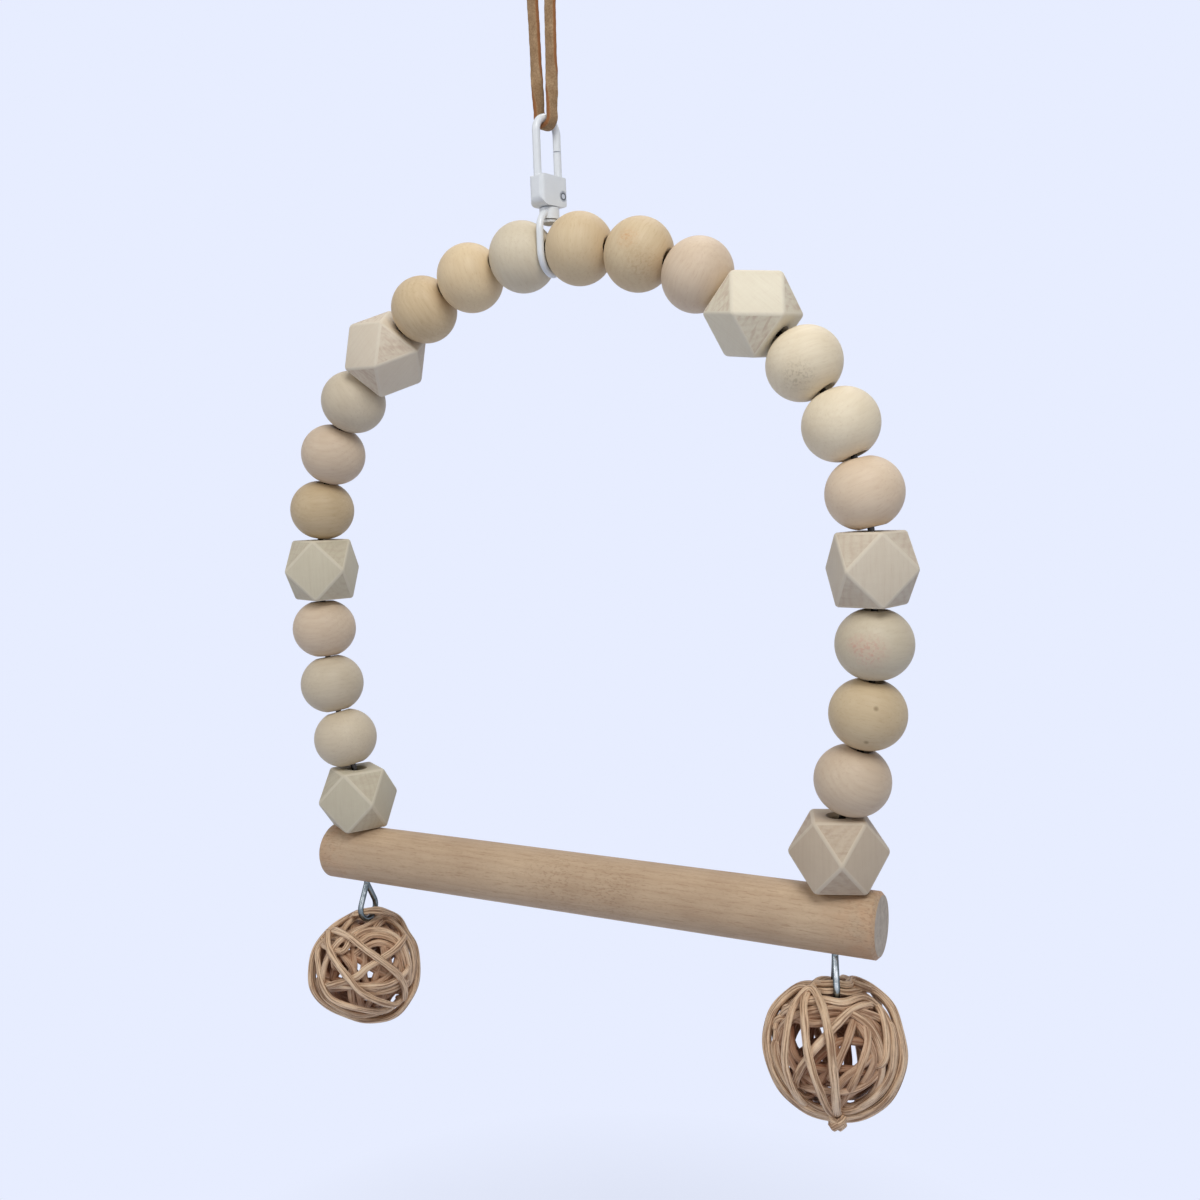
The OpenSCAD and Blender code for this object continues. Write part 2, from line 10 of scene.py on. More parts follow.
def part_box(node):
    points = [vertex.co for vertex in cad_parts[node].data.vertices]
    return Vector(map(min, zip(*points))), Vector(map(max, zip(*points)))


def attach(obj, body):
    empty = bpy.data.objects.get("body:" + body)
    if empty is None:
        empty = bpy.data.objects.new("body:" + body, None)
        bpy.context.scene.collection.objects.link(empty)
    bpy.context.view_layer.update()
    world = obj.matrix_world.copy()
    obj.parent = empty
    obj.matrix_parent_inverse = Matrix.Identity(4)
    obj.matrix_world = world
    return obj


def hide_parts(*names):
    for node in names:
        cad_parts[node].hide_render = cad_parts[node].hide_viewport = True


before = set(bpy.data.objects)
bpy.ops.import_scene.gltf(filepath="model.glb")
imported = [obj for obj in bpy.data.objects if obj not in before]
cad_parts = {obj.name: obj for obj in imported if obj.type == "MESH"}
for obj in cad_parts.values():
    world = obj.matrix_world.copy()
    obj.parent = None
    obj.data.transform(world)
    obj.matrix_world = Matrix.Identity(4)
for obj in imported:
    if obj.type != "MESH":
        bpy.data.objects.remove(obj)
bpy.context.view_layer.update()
MM = 0.001
SIGNS = {"left": -1, "right": 1}

# Turn of the clasp and the lace about the vertical
CLASP_TURN = math.radians(-14)
# Middles of the two wire holes, of the wire's eyes and of the dowel
HOLE_X = 70.025 * MM
EYE_Z = -245.523 * MM
PERCH_Z = -229.323 * MM
# Places of the beads on the wire, from the foot up: across from the middle, height, and lean
BEAD_PLACES = [
    (71.314, -212.523, 0.0), (74.868, -195.177, 16.0), (78.667, -179.295, 9.823),
    (80.396, -163.059, 2.334), (80.500, -145.778, -0.136), (78.611, -128.632, -12.437),
    (73.422, -112.962, -24.206), (65.146, -98.680, -35.975), (53.576, -85.887, -48.276),
    (39.545, -75.852, -60.577), (24.413, -69.260, -72.346), (8.253, -65.893, -84.116),
]
# How the faceted beads sit: turn about the wire, shift toward the middle in mm, size, and how pale
# it is painted.
# That paleness is painted light: the higher beads are painted paler and the lowest darker, for the
# stronger light from above.
FACETED_BEADS = {
    "left": {1: (13, 0, 0.98, 0.97), 5: (24, 0.7, 0.98, 1.0), 9: (76, 0.7, 0.99, 1.03)},
    "right": {1: (64, 0, 0.98, 0.96), 5: (31, 0.6, 0.97, 0.99), 9: (38, 0.7, 0.965, 1.06)},
}


# ---- camera

CAMERA_PLACE = (0.143257, -0.258092, -0.126399)
CAMERA_TURN, CAMERA_TILT, CAMERA_ROLL = (math.radians(a) for a in (27.235, 5.376, -2.033))
# Sensor width in mm; the photograph's width and the focal length in its pixels
SENSOR_WIDTH, PHOTO_WIDTH, FOCAL_LENGTH = 36, 1200, 1142.2


def aim_camera():
    """The photograph's viewpoint, to the right of the front and just above the middle."""
    level = Vector((math.cos(CAMERA_TURN), math.sin(CAMERA_TURN), 0))
    back = Vector((math.sin(CAMERA_TURN) * math.cos(CAMERA_TILT),
                   -math.cos(CAMERA_TURN) * math.cos(CAMERA_TILT), math.sin(CAMERA_TILT)))
    right = level * math.cos(CAMERA_ROLL) + back.cross(level) * math.sin(CAMERA_ROLL)
    up = back.cross(right)
    bpy.ops.object.camera_add(location=CAMERA_PLACE)
    camera = bpy.context.object
    camera.name = "photo_camera"
    camera.rotation_euler = Matrix((right, up, back)).transposed().to_euler()
    camera.data.sensor_width = SENSOR_WIDTH
    camera.data.lens = SENSOR_WIDTH * FOCAL_LENGTH / PHOTO_WIDTH
    camera.data.clip_start = 0.01
    bpy.context.scene.camera = camera


# ---- shared modelling help

def turned(axis, degrees):
    return Matrix.Rotation(math.radians(degrees), 4, axis)


def bead_place(side, number):
    """Where a bead sits on the wire, leaning with it."""
    x, z, lean = BEAD_PLACES[number - 1]
    return (Matrix.Translation(Vector((SIGNS[side] * x, 0, z)) * MM)
            @ turned("Y", SIGNS[side] * lean))


def view_from(toward):
    """Across and up as seen from the side that toward points to."""
    across = Vector((0, 0, 1)).cross(toward).normalized()
    return across, toward.cross(across)


def ease(low, high, value):
    """0 up to the low value, 1 from the high one on, and a smooth rise between."""
    share = max(0.0, min(1.0, (value - low) / (high - low)))
    return share * share * (3 - 2 * share)


def deselect_all():
    if bpy.context.object and bpy.context.object.mode != "OBJECT":
        bpy.ops.object.mode_set(mode="OBJECT")
    bpy.ops.object.select_all(action="DESELECT")


def make_active(piece):
    deselect_all()
    piece.select_set(True)
    bpy.context.view_layer.objects.active = piece


def swept(name, rings, around, along, closed=False):
    """A tube through rings of points, capped or joined to itself, with a UV map that runs round
    the section and along the line in millimetres."""
    count = len(rings[0])
    points = [tuple(p) for ring in rings for p in ring]
    faces = []
    uvs = []
    for i in range(len(rings) - (0 if closed else 1)):
        n = (i + 1) % len(rings)
        for j in range(count):
            k = (j + 1) % count
            faces.append((i * count + j, i * count + k, n * count + k, n * count + j))
            u0, u1 = around[j], around[j + 1]
            uvs += [(u0, along[i]), (u1, along[i]), (u1, along[i + 1]), (u0, along[i + 1])]
    if not closed:
        faces.append(tuple(reversed(range(count))))
        uvs += [(around[j], along[0]) for j in reversed(range(count))]
        last = (len(rings) - 1) * count
        faces.append(tuple(range(last, last + count)))
        uvs += [(around[j], along[-1]) for j in range(count)]
    mesh = bpy.data.meshes.new(name)
    mesh.from_pydata(points, [], faces)
    layer = mesh.uv_layers.new(name="strand_map")
    for loop, uv in zip(layer.data, uvs):
        loop.uv = uv
    mesh.validate()
    piece = bpy.data.objects.new(name, mesh)
    bpy.context.scene.collection.objects.link(piece)
    make_active(piece)
    bpy.ops.object.shade_smooth_by_angle(angle=math.radians(50))
    return piece


def join(name, parts):
    """One piece of several."""
    make_active(parts[0])
    for part in parts:
        part.select_set(True)
    bpy.ops.object.join()
    whole = bpy.context.object
    whole.name = name
    return whole


def smooth_line(points, steps, closed=False):
    """A smooth curve through the given points, that many steps from one to the next."""
    n = len(points)
    line = []
    for i in range(n if closed else n - 1):
        b, c = points[i], points[(i + 1) % n]
        a = points[i - 1] if i or closed else b * 2 - c
        d = points[(i + 2) % n] if i + 2 < n or closed else c * 2 - b
        for k in range(steps):
            t = k / steps
            line.append(0.5 * (2 * b + (c - a) * t + (2 * a - 5 * b + 4 * c - d) * t * t
                               + (3 * b - a - 3 * c + d) * t ** 3))
    if not closed:
        line.append(points[-1].copy())
    return line


def run_along(line):
    """Distance of each point from the first one."""
    total = [0.0]
    for a, b in zip(line, line[1:]):
        total.append(total[-1] + (b - a).length)
    return total


def lengths_along(line):
    """Distance of each point from the first, in millimetres."""
    return [s / MM for s in run_along(line)]


def even_line(line, gap, closed):
    """The same line with its points evenly spaced."""
    if closed:
        line = line + [line[0]]
    run = run_along(line)
    count = max(3, round(run[-1] / gap))
    even = []
    i = 0
    for k in range(count if closed else count + 1):
        s = run[-1] * k / count
        while i < len(run) - 2 and run[i + 1] < s:
            i += 1
        even.append(line[i].lerp(line[i + 1], (s - run[i]) / max(run[i + 1] - run[i], 1e-9)))
    return even


def direction(line, i, closed=False):
    """Which way a line runs at one of its points."""
    n = len(line)
    if closed:
        return (line[(i + 1) % n] - line[i - 1]).normalized()
    return (line[min(i + 1, n - 1)] - line[max(i - 1, 0)]).normalized()


# ---- the lace and its knot

# Left side of the loop from the knot down to the bend round the hook: across and up in mm
LACE_SIDE = [
    (-1.7, 6.5), (-1.7, 5.5), (-2.2, 3.5), (-2.9, 1.5), (-3.1, -1), (-3, -4), (-2.8, -9),
    (-2.7, -14), (-2.6, -19), (-2.6, -21.5), (-2.5, -24), (-2.4, -26.5), (-2.3, -29),
    (-2.2, -31), (-2.2, -33), (-2, -33.9), (-1.5, -34.6), (-0.8, -35), (0, -35.2),
]
LACE_ROUTE = LACE_SIDE + [(-x, z) for x, z in reversed(LACE_SIDE[:-1])]
# The flat lies round the hook below the first height and faces the viewer above the second
LACE_FLAT_Z, LACE_FRONT_Z = -31, -19
LACE_WIDTH, LACE_THICKNESS, LACE_CORNER = 3.0 * MM, 1.5 * MM, 0.42 * MM
LACE_UNEVEN = 0.03
LACE_STEPS = 6
# Windings of the knot: points, degrees from point to point, first one, height and rise, radius of
# the windings and of their tucked ends, and how flat they are
WRAP_POINTS, WRAP_STEP, WRAP_START = 33, 25, -200
WRAP_HEIGHT, WRAP_RISE, WRAP_TILT = 8.0, 5.1, 0.5
WRAP_RADIUS, WRAP_END_RADIUS, WRAP_FLAT = 3.15, 2.2, 0.93


def ribbon_outline():
    """The lace's rounded section as points, and how far round it each one is in mm."""
    reach, rise = LACE_WIDTH / 2 - LACE_CORNER, LACE_THICKNESS / 2 - LACE_CORNER
    outline = []
    for x, y, start in ((1, 1, 0), (-1, 1, 90), (-1, -1, 180), (1, -1, 270)):
        for k in range(4):
            a = math.radians(start + 30 * k)
            outline.append((x * reach + LACE_CORNER * math.cos(a),
                            y * rise + LACE_CORNER * math.sin(a)))
    around = [0.0]
    for a, b in zip(outline, outline[1:] + outline[:1]):
        around.append(around[-1] + math.dist(a, b) / MM)
    return outline, around


def in_clasp(x, y, z):
    """A point given in millimetres in the clasp's turned frame."""
    c, s = math.cos(CLASP_TURN), math.sin(CLASP_TURN)
    return Vector((x * c - y * s, x * s + y * c, z)) * MM


def turned_ribbon(name, line, side_of):
    """A flat lace along a line. side_of gives the direction of its width at a point."""
    outline, around = ribbon_outline()
    along = lengths_along(line)
    rings = []
    for i, p in enumerate(line):
        ahead = direction(line, i)
        wide = side_of(p)
        wide = (wide - ahead * wide.dot(ahead)).normalized()
        thick = ahead.cross(wide)
        s = along[i]
        ring = []
        for w, t in outline:
            wider = 1 + LACE_UNEVEN * math.sin(1.7 * s + 900 * w) * math.sin(0.61 * s + 1.3)
            thicker = 1 + LACE_UNEVEN * math.sin(2.3 * s + 700 * w)
            ring.append(p + wide * w * wider + thick * t * thicker)
        rings.append(ring)
    return swept(name, rings, around, along)


def make_lace():
    """The loop, its flat turned a quarter turn on the way up from the hook."""
    route = [Vector((x, 0, z)) for x, z in LACE_ROUTE]
    line = [in_clasp(p.x, 0, p.z) for p in smooth_line(route, LACE_STEPS)]
    in_loop, cross_hook = in_clasp(1, 0, 0) / MM, in_clasp(0, 1, 0) / MM

    def width_at(p):
        turn = math.radians(90 * ease(LACE_FLAT_Z, LACE_FRONT_Z, p.z / MM))
        return cross_hook * math.cos(turn) + in_loop * math.sin(turn)

    return turned_ribbon("suede_lace", line, width_at), line


def make_knot():
    """Both ends of the lace wound round by one of them twice, with two cut tails out of the top."""
    parts = []
    for side in (-1, 1):
        up = [(side * 1.7, 0, 6.0), (side * 1.5, 0.2 * side, 8), (side * 0.9, 0.5 * side, 10.5),
              (side * 0.9, 0.3 * side, 13), (side * 1.7, 0, 15.2), (side * 2.8, -0.3, 18.5),
              (side * 3.5, -0.7, 21), (side * 3.9, -1.0, 23.2)]
        line = smooth_line([in_clasp(*p) for p in up], LACE_STEPS)
        across = in_clasp(0.25 * side, 1, 0).normalized()
        parts.append(turned_ribbon("tail_%d" % (side + 2), line, lambda p: across))
    turns = []
    for k in range(WRAP_POINTS):
        a = math.radians(WRAP_START + WRAP_STEP * k)
        share = k / (WRAP_POINTS - 1)
        tucked = max(0, 1 - 8 * min(share, 1 - share))
        radius = WRAP_RADIUS - (WRAP_RADIUS - WRAP_END_RADIUS) * tucked
        height = WRAP_HEIGHT + WRAP_RISE * share + WRAP_TILT * math.sin(a + 1)
        turns.append(in_clasp(radius * math.cos(a), radius * WRAP_FLAT * math.sin(a), height))
    axis = in_clasp(0, 0.14, 1).normalized()
    parts.append(turned_ribbon("wraps", smooth_line(turns, 3), lambda p: axis))
    return join("suede_knot", parts)


# ---- faceted beads

# Width over the square faces, how far the edges are eased, and the radius of the bore
FACET_WIDTH, FACET_EASE, BORE_RADIUS = 17.5 * MM, 0.55 * MM, 2.2 * MM
# The countersink widens from the second height to the first
SINK_RADIUS, SINK_LEVELS = 2.95 * MM, (8.75 * MM, 7.95 * MM)
# A triangle's normal has the first share of every axis or more, a square's the second of one
TRIANGLE_SHARE, SQUARE_SHARE = 0.55, 0.995


def make_drill():
    """A rod that widens at both ends, to cut the bore with its countersinks."""
    bpy.ops.mesh.primitive_cylinder_add(vertices=40, radius=BORE_RADIUS, depth=FACET_WIDTH * 1.3)
    drill = bpy.context.object
    bpy.ops.object.mode_set(mode="EDIT")
    bpy.ops.mesh.select_all(action="SELECT")
    for sign in (-1, 1):
        for level in SINK_LEVELS:
            bpy.ops.mesh.bisect(plane_co=(0, 0, sign * level), plane_no=(0, 0, 1))
            bpy.ops.mesh.select_all(action="SELECT")
    bpy.ops.object.mode_set(mode="OBJECT")
    for v in drill.data.vertices:
        if abs(v.co.z) > sum(SINK_LEVELS) / 2:
            v.co.x *= SINK_RADIUS / BORE_RADIUS
            v.co.y *= SINK_RADIUS / BORE_RADIUS
    return drill


def make_faceted_master():
    """A cube cut back at its eight corners to triangles, its edges eased, bored down the middle."""
    deselect_all()
    bpy.ops.mesh.primitive_cube_add(size=FACET_WIDTH)
    bead = bpy.context.object
    bpy.ops.object.mode_set(mode="EDIT")
    for signs in product((-1, 1), repeat=3):
        corner = Vector(signs)
        bpy.ops.mesh.select_all(action="SELECT")
        bpy.ops.mesh.bisect(plane_co=corner * FACET_WIDTH / 3, plane_no=corner.normalized(),
                            use_fill=True, clear_outer=True)
    bpy.ops.mesh.select_all(action="SELECT")
    bpy.ops.mesh.remove_doubles(threshold=1e-5)
    bpy.ops.mesh.normals_make_consistent(inside=False)
    bpy.ops.object.mode_set(mode="OBJECT")
    eased_edges = bead.modifiers.new("eased_edges", "BEVEL")
    eased_edges.width = FACET_EASE
    eased_edges.segments = 4
    eased_edges.limit_method = "ANGLE"
    eased_edges.angle_limit = math.radians(20)
    bpy.ops.object.modifier_apply(modifier=eased_edges.name)

    drill = make_drill()
    make_active(bead)
    bore = bead.modifiers.new("bored_hole", "BOOLEAN")
    bore.object = drill
    bore.solver = "EXACT"
    bpy.ops.object.modifier_apply(modifier=bore.name)
    bpy.data.objects.remove(drill)
    mark_faces(bead.data)
    bpy.ops.object.shade_smooth_by_angle(angle=math.radians(30))
    return bead


def mark_faces(mesh):
    """Marks eased edges with 1 and the hole with -1, and the triangles as combed."""
    for name in ("eased", "combed"):
        mesh.attributes.new(name, "FLOAT", "FACE")
    eased, combed = mesh.attributes["eased"].data, mesh.attributes["combed"].data
    for face, edge, lines in zip(mesh.polygons, eased, combed):
        facing = [abs(v) for v in face.normal]
        triangle = min(facing) > TRIANGLE_SHARE
        in_hole = math.hypot(face.center.x, face.center.y) < SINK_RADIUS + 0.1 * MM
        flat = triangle or max(facing) > SQUARE_SHARE
        edge.value = 0.0 if flat else (-1.0 if in_hole else 1.0)
        lines.value = 1.0 if triangle else 0.0


def make_faceted_beads():
    master = make_faceted_master()
    for side, sign in SIGNS.items():
        for number, (turn, inward, size, _) in FACETED_BEADS[side].items():
            place = (bead_place(side, number)
                     @ Matrix.Translation(Vector((-sign * inward, 0, 0)) * MM)
                     @ turned("Z", turn) @ Matrix.Scale(size, 4))
            bead = master.copy()
            bead.data = master.data.copy()
            bead.name = "faceted_bead_%s_%02d" % (side, number)
            bpy.context.scene.collection.objects.link(bead)
            bead.data.transform(place)
            bead.data.materials.append(faceted_bead_finish(side, number, place))
            node = "bead_%s_%02d" % (side, number)
            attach(bead, node)
            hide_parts(node)
    bpy.data.objects.remove(master)


# ---- rattan balls

# The winding of each ball seen from the front: across and up in hundredths of its radius. The rim
# goes through the wire's eye and round the edge. Each strand has its height over the ball's centre
# in mm, and runs on round the back or tucks its ends in.
BALL_RADIUS = 16.0
LEFT_RIM = (
    (30, 106), (49, 99), (65, 78), (80, 50), (92, 26), (96, -4), (94, -31), (86, -55), (71, -76),
    (52, -92), (27, -99), (-10, -95), (-44, -80), (-77, -58), (-94, -34), (-98, -6), (-93, 26),
    (-79, 52), (-56, 73), (-25, 89),
)
LEFT_STRANDS = (
    (15.9, "tucked", ((-50, 67), (-22, 50), (2, 27), (27, 6), (52, -17), (64, -36), (68, -53),
        (67, -69))),
    (15.7, "round", ((-64, 64), (-62, 36), (-47, 6), (-27, -23), (-10, -45), (17, -63), (47, -75),
        (76, -80))),
    (14.9, "tucked", ((75, 42), (58, 23), (32, 8), (2, -6), (-17, -19), (-62, -28))),
    (15.0, "round", ((-84, 38), (-81, -1), (-74, -31), (-59, -53), (-22, -71), (27, -84),
        (57, -80))),
    (14.2, "round", ((-39, 28), (-22, 46), (2, 58), (32, 57), (57, 43), (73, 18), (79, -11),
        (78, -43))),
    (13.6, "round", ((-15, 39), (15, 50), (47, 42), (65, 21), (74, -11), (69, -43))),
    (13.0, "tucked", ((-10, 25), (20, 36), (47, 28), (60, 9), (63, -21))),
    (14.4, "tucked", ((-15, -34), (27, -39), (57, -31), (76, -15))),
    (13.8, "tucked", ((-7, -47), (32, -49), (59, -43), (80, -28))),
    (14.1, "tucked", ((-68, -25), (-39, -31), (-7, -36), (17, -43))),
    (14.6, "tucked", ((37, 90), (7, 75), (-17, 60), (-47, 43), (-68, 14), (-76, -16))),
    (13.4, "tucked", ((-26, 81), (-38, 60), (-49, 38), (-55, 9))),
    (14.8, "tucked", ((52, 92), (69, 63), (84, 28), (89, -6), (84, -43))),
    (12.2, "tucked", ((-2, 28), (0, 9), (-3, -16), (2, -36))),
    (12.0, "tucked", ((-20, 23), (-23, -1), (-29, -23))),
    (12.4, "tucked", ((34, 28), (37, 4), (49, -21))),
    (14.5, "tucked", ((-91, -21), (-74, -50), (-39, -76), (-2, -90), (37, -92))),
)
RIGHT_RIM = (
    (29, 97), (58, 86), (83, 65), (95, 37), (102, -4), (96, -36), (77, -69), (51, -89), (19, -99),
    (-14, -98), (-46, -89), (-76, -66), (-95, -33), (-102, 6), (-94, 41), (-75, 66), (-49, 84),
    (-24, 94),
)
RIGHT_STRANDS = (
    (15.9, "tucked", ((-48, -87), (-60, -61), (-70, -30), (-69, 6), (-61, 44), (-48, 67),
        (-31, 78), (-17, 56), (-9, 25), (-4, -8), (0, -49), (2, -81), (3, -102))),
    (15.3, "round", ((-38, 71), (-43, 54), (-41, 25), (-37, -13), (-24, -54), (-7, -90))),
    (14.5, "round", ((-100, 16), (-84, 37), (-60, 52), (-24, 64), (12, 70), (43, 70), (70, 60),
        (82, 35), (84, 1), (79, -32), (60, -61), (34, -83), (14, -95))),
    (13.9, "tucked", ((52, 60), (26, 50), (5, 30), (-17, 6), (-36, -16), (-50, -37), (-57, -55))),
    (13.6, "tucked", ((24, 47), (46, 34), (61, 13), (67, -13), (64, -42), (46, -71), (22, -90))),
    (13.1, "tucked", ((46, 32), (48, 6), (38, -23), (24, -52), (7, -83))),
    (12.6, "tucked", ((29, 37), (18, 6), (7, -18), (-5, -42))),
    (12.9, "round", ((-73, 16), (-89, -1), (-93, -25), (-84, -44), (-62, -55), (-24, -61),
        (24, -58), (55, -40), (72, -16))),
    (13.3, "round", ((-99, -23), (-90, 13), (-64, 35), (-29, 48), (5, 54), (43, 49))),
    (14.8, "tucked", ((-100, -4), (-93, -40), (-69, -70), (-38, -90), (-10, -101))),
    (14.9, "tucked", ((93, 42), (93, 6), (87, -32), (70, -61), (46, -84), (14, -101))),
    (14.2, "tucked", ((34, 89), (62, 67), (72, 42), (75, 6), (70, -18))),
    (13.8, "tucked", ((-84, 16), (-91, -13), (-87, -42), (-72, -61), (-50, -81))),
)
# Clear room round the wire's eye, and how far to its sides strands are still led round it, in mm
EYE_ROOM = 5.5
EYE_SIDE = (2.2, 5.2)
# Strands higher than this dip under the rim within this share of their height from the edge, and
# none is seen further out than the third
UNDER_RIM, DIP_SHARE, EDGE_SHARE = 13.9, 0.2, 0.985
# The rim keeps this far from the eye's middle, across and below, and comes this far out of the eye
RIM_CLEAR, RIM_BELOW, EYE_REACH = 4.5, -5, 2.9
# From one turn of the rim to the next: hundredths of the radius forward, and share smaller
RIM_FORWARD, RIM_SMALLER = 8.5, 0.035
# How far the ends of a tucked strand run on, and how far they dive
TUCK_RUN, TUCK_DEPTH = 2.4, 2.6
# Longest way of a loop round the back without a point
BACK_STEP = math.radians(38)
# Heights over the ball's centre: lowest loose turn, and where a strand counts as deep or outermost
INNER_HEIGHT, DEEP, OUTERMOST = 11.2, 10.5, 15.5
# Half width and half thickness of a strand, the gap between its points, and its section's sides
STRAND_WIDE, STRAND_THICK, STRAND_GAP, STRAND_SIDES = 0.98, 0.80, 1.1, 16


def rattan_strand(name, points, closed, heart, place, number, thick=1.0):
    """One split strand, ridged along its length, its flat toward the ball's heart."""
    line = even_line(smooth_line(points, 8, closed), STRAND_GAP, closed)
    n = len(line)
    start = 131.0 * number
    along = [start + s for s in run_along(line + [line[0]])]
    rings = []
    for i, p in enumerate(line):
        ahead = direction(line, i, closed)
        wide = ahead.cross(p - heart).normalized()
        out = wide.cross(ahead)
        end = min(i, n - 1 - i)
        taper = thick * (1.0 if closed or end > 1 else (0.55 if end == 0 else 0.88))
        w = (STRAND_WIDE + 0.06 * math.sin(0.9 * i + number)) * taper
        t = (STRAND_THICK + 0.05 * math.sin(0.7 * i + 2 * number)) * taper
        ring = []
        for k in range(STRAND_SIDES):
            a = 2 * math.pi * k / STRAND_SIDES
            rib = 1 + 0.045 * math.cos(4 * a) + 0.045 * math.cos(6 * a + number)
            q = p + (wide * math.cos(a) * w - out * math.sin(a) * t) * rib
            ring.append(place @ (q * MM))
        rings.append(ring)
    around = [2 * math.pi * k / STRAND_SIDES for k in range(STRAND_SIDES + 1)]
    return swept(name, rings, around, along, closed)


def round_the_eye(p):
    """Leads a strand past the wire's eye, which swings inside the ball's skin."""
    side = 1 - ease(*EYE_SIDE, abs(p.x))
    r = math.hypot(p.y, p.z)
    if side == 0 or r >= EYE_ROOM:
        return p
    y, z = (p.y / r, p.z / r) if r > 0.2 else (0.0, -1.0)
    if z > -0.2:
        y, z = math.copysign(0.98, y), -0.2
    far = r + (EYE_ROOM - r) * side
    return Vector((p.x, y * far, z * far))


def round_the_back(front):
    """A loop of a strand's points in front and the same ones turned to the back, with more where
    they are far apart."""
    loop = front + [-p for p in front]
    full = []
    for p, q in zip(loop, loop[1:] + loop[:1]):
        full.append(p)
        between = int(p.angle(q) / BACK_STEP)
        for m in range(1, between + 1):
            share = m / (between + 1)
            height = p.length + (q.length - p.length) * share
            full.append(p.lerp(q, share).normalized() * height)
    return full


def tucked_in(front):
    """A strand's points in front with both ends run on and dived under."""
    first = front[0] + (front[0] - front[1]).normalized() * TUCK_RUN
    last = front[-1] + (front[-1] - front[-2]).normalized() * TUCK_RUN
    first, last = (p * (1 - TUCK_DEPTH / p.length) for p in (first, last))
    return [first] + front + [last]


def make_ball(name, rim, strands, x, drop, aside, eye_turn, through, inner, knob):
    """A wound ball in millimetres from the eye's middle, then turned and moved to its place. The
    rim goes once through the eye at each place of through; inner loose turns fill the inside."""
    heart = Vector((aside, 0, -drop))
    place = Matrix.Translation(Vector((x, 0, EYE_Z))) @ turned("Z", eye_turn)
    seen_from = place.inverted() @ bpy.context.scene.camera.location / MM
    toward = (seen_from - heart).normalized()
    across, up = view_from(toward)
    parts = []

    def on_skin(a, b, height):
        """Point over the ball's centre that is seen at a and b."""
        flat = Vector((a, b)) * BALL_RADIUS / 100
        if flat.length > EDGE_SHARE * height:
            flat *= EDGE_SHARE * height / flat.length
        near = math.sqrt(height * height - flat.length_squared)
        keep = height - max(0, height - UNDER_RIM) * math.exp(-(near / height / DIP_SHARE) ** 2)
        return (across * flat.x + up * flat.y + toward * near) * keep / height

    for k, (y, z) in enumerate(through):
        lean = RIM_FORWARD * (k - (len(through) - 1) / 2)
        size = (1 - RIM_SMALLER * abs(k - 1)) * BALL_RADIUS / 100
        edge = []
        for i, (a, b) in enumerate(rim):
            forward = lean * (1 + 0.5 * math.sin(5 * i + k))
            p = heart + (across * a + up * b + toward * forward) * size
            if abs(p.x) > RIM_CLEAR or p.z < RIM_BELOW:
                edge.append(p)
        out = across * EYE_REACH
        low = Vector((0, y, z - 0.25))
        parts.append(rattan_strand("rim_%d" % k, [low - out, Vector((0, y, z)), low + out] + edge,
                                   True, heart, place, k + 1))

    number = 10
    for height, kind, trace in strands:
        front = [on_skin(a, b, height) for a, b in trace]
        if kind == "round":
            runs = [round_the_back(front)]
        else:
            run = tucked_in(front)
            runs = [run, [Vector((-p.x, -p.y, p.z)) for p in run]]
        for run in runs:
            number += 1
            line = [round_the_eye(heart + p) for p in run]
            parts.append(rattan_strand("strand_%d" % number, line, kind == "round", heart, place,
                                       number))

    for k in range(inner):
        tall = 1 - 2 * (k + 0.5) / inner
        flat = math.sqrt(1 - tall * tall)
        pole = Vector((flat * math.cos(2.4 * k + drop), flat * math.sin(2.4 * k + drop), tall))
        one = pole.orthogonal().normalized()
        two = pole.cross(one)
        height = INNER_HEIGHT + 0.4 * (k % 4)
        ring = []
        for m in range(12):
            a = 2 * math.pi * m / 12
            sway = 0.16 * math.sin(2 * a + k) + 0.12 * math.cos(3 * a)
            ring.append(heart + (one * math.cos(a) + two * math.sin(a) + pole * sway) * height)
        parts.append(rattan_strand("inner_%d" % k, [round_the_eye(p) for p in ring], True, heart,
                                   place, 40 + k))

    if knob:
        middle = heart + (across * 0.03 + up * -1.045 + toward * 0.16) * BALL_RADIUS
        for k in range(2):
            ring = []
            for m in range(10):
                a = 2 * math.pi * m / 10
                rise = 0.55 * math.sin(2 * a + 1.4 * k) + 0.7 * k - 0.3
                ring.append(middle + across * 1.25 * math.cos(a) + up * rise
                            + toward * 1.15 * math.sin(a))
            parts.append(rattan_strand("nub_%d" % k, ring, True, middle, place, 60 + k, 1.12))
    ball = join(name, parts)
    middle = place @ (heart * MM)
    # Each point's depth in the ball, which drives the painted shade on the deep strands.
    depth = ball.data.attributes.new("height", "FLOAT", "POINT")
    for v, mark in zip(ball.data.vertices, depth.data):
        mark.value = ((v.co - middle).length / MM - DEEP) / (OUTERMOST - DEEP)
    return ball


# ---- materials

def colour(r, g, b):
    """A colour as a screen shows it, 0 to 255, as the numbers that a shader takes."""
    def straight(v):
        v /= 255
        return v / 12.92 if v <= 0.04045 else ((v + 0.055) / 1.055) ** 2.4
    return (straight(r), straight(g), straight(b), 1)


def lighter(shade, gain):
    """A screen colour made paler or darker."""
    return colour(*(min(255, v * gain) for v in shade))


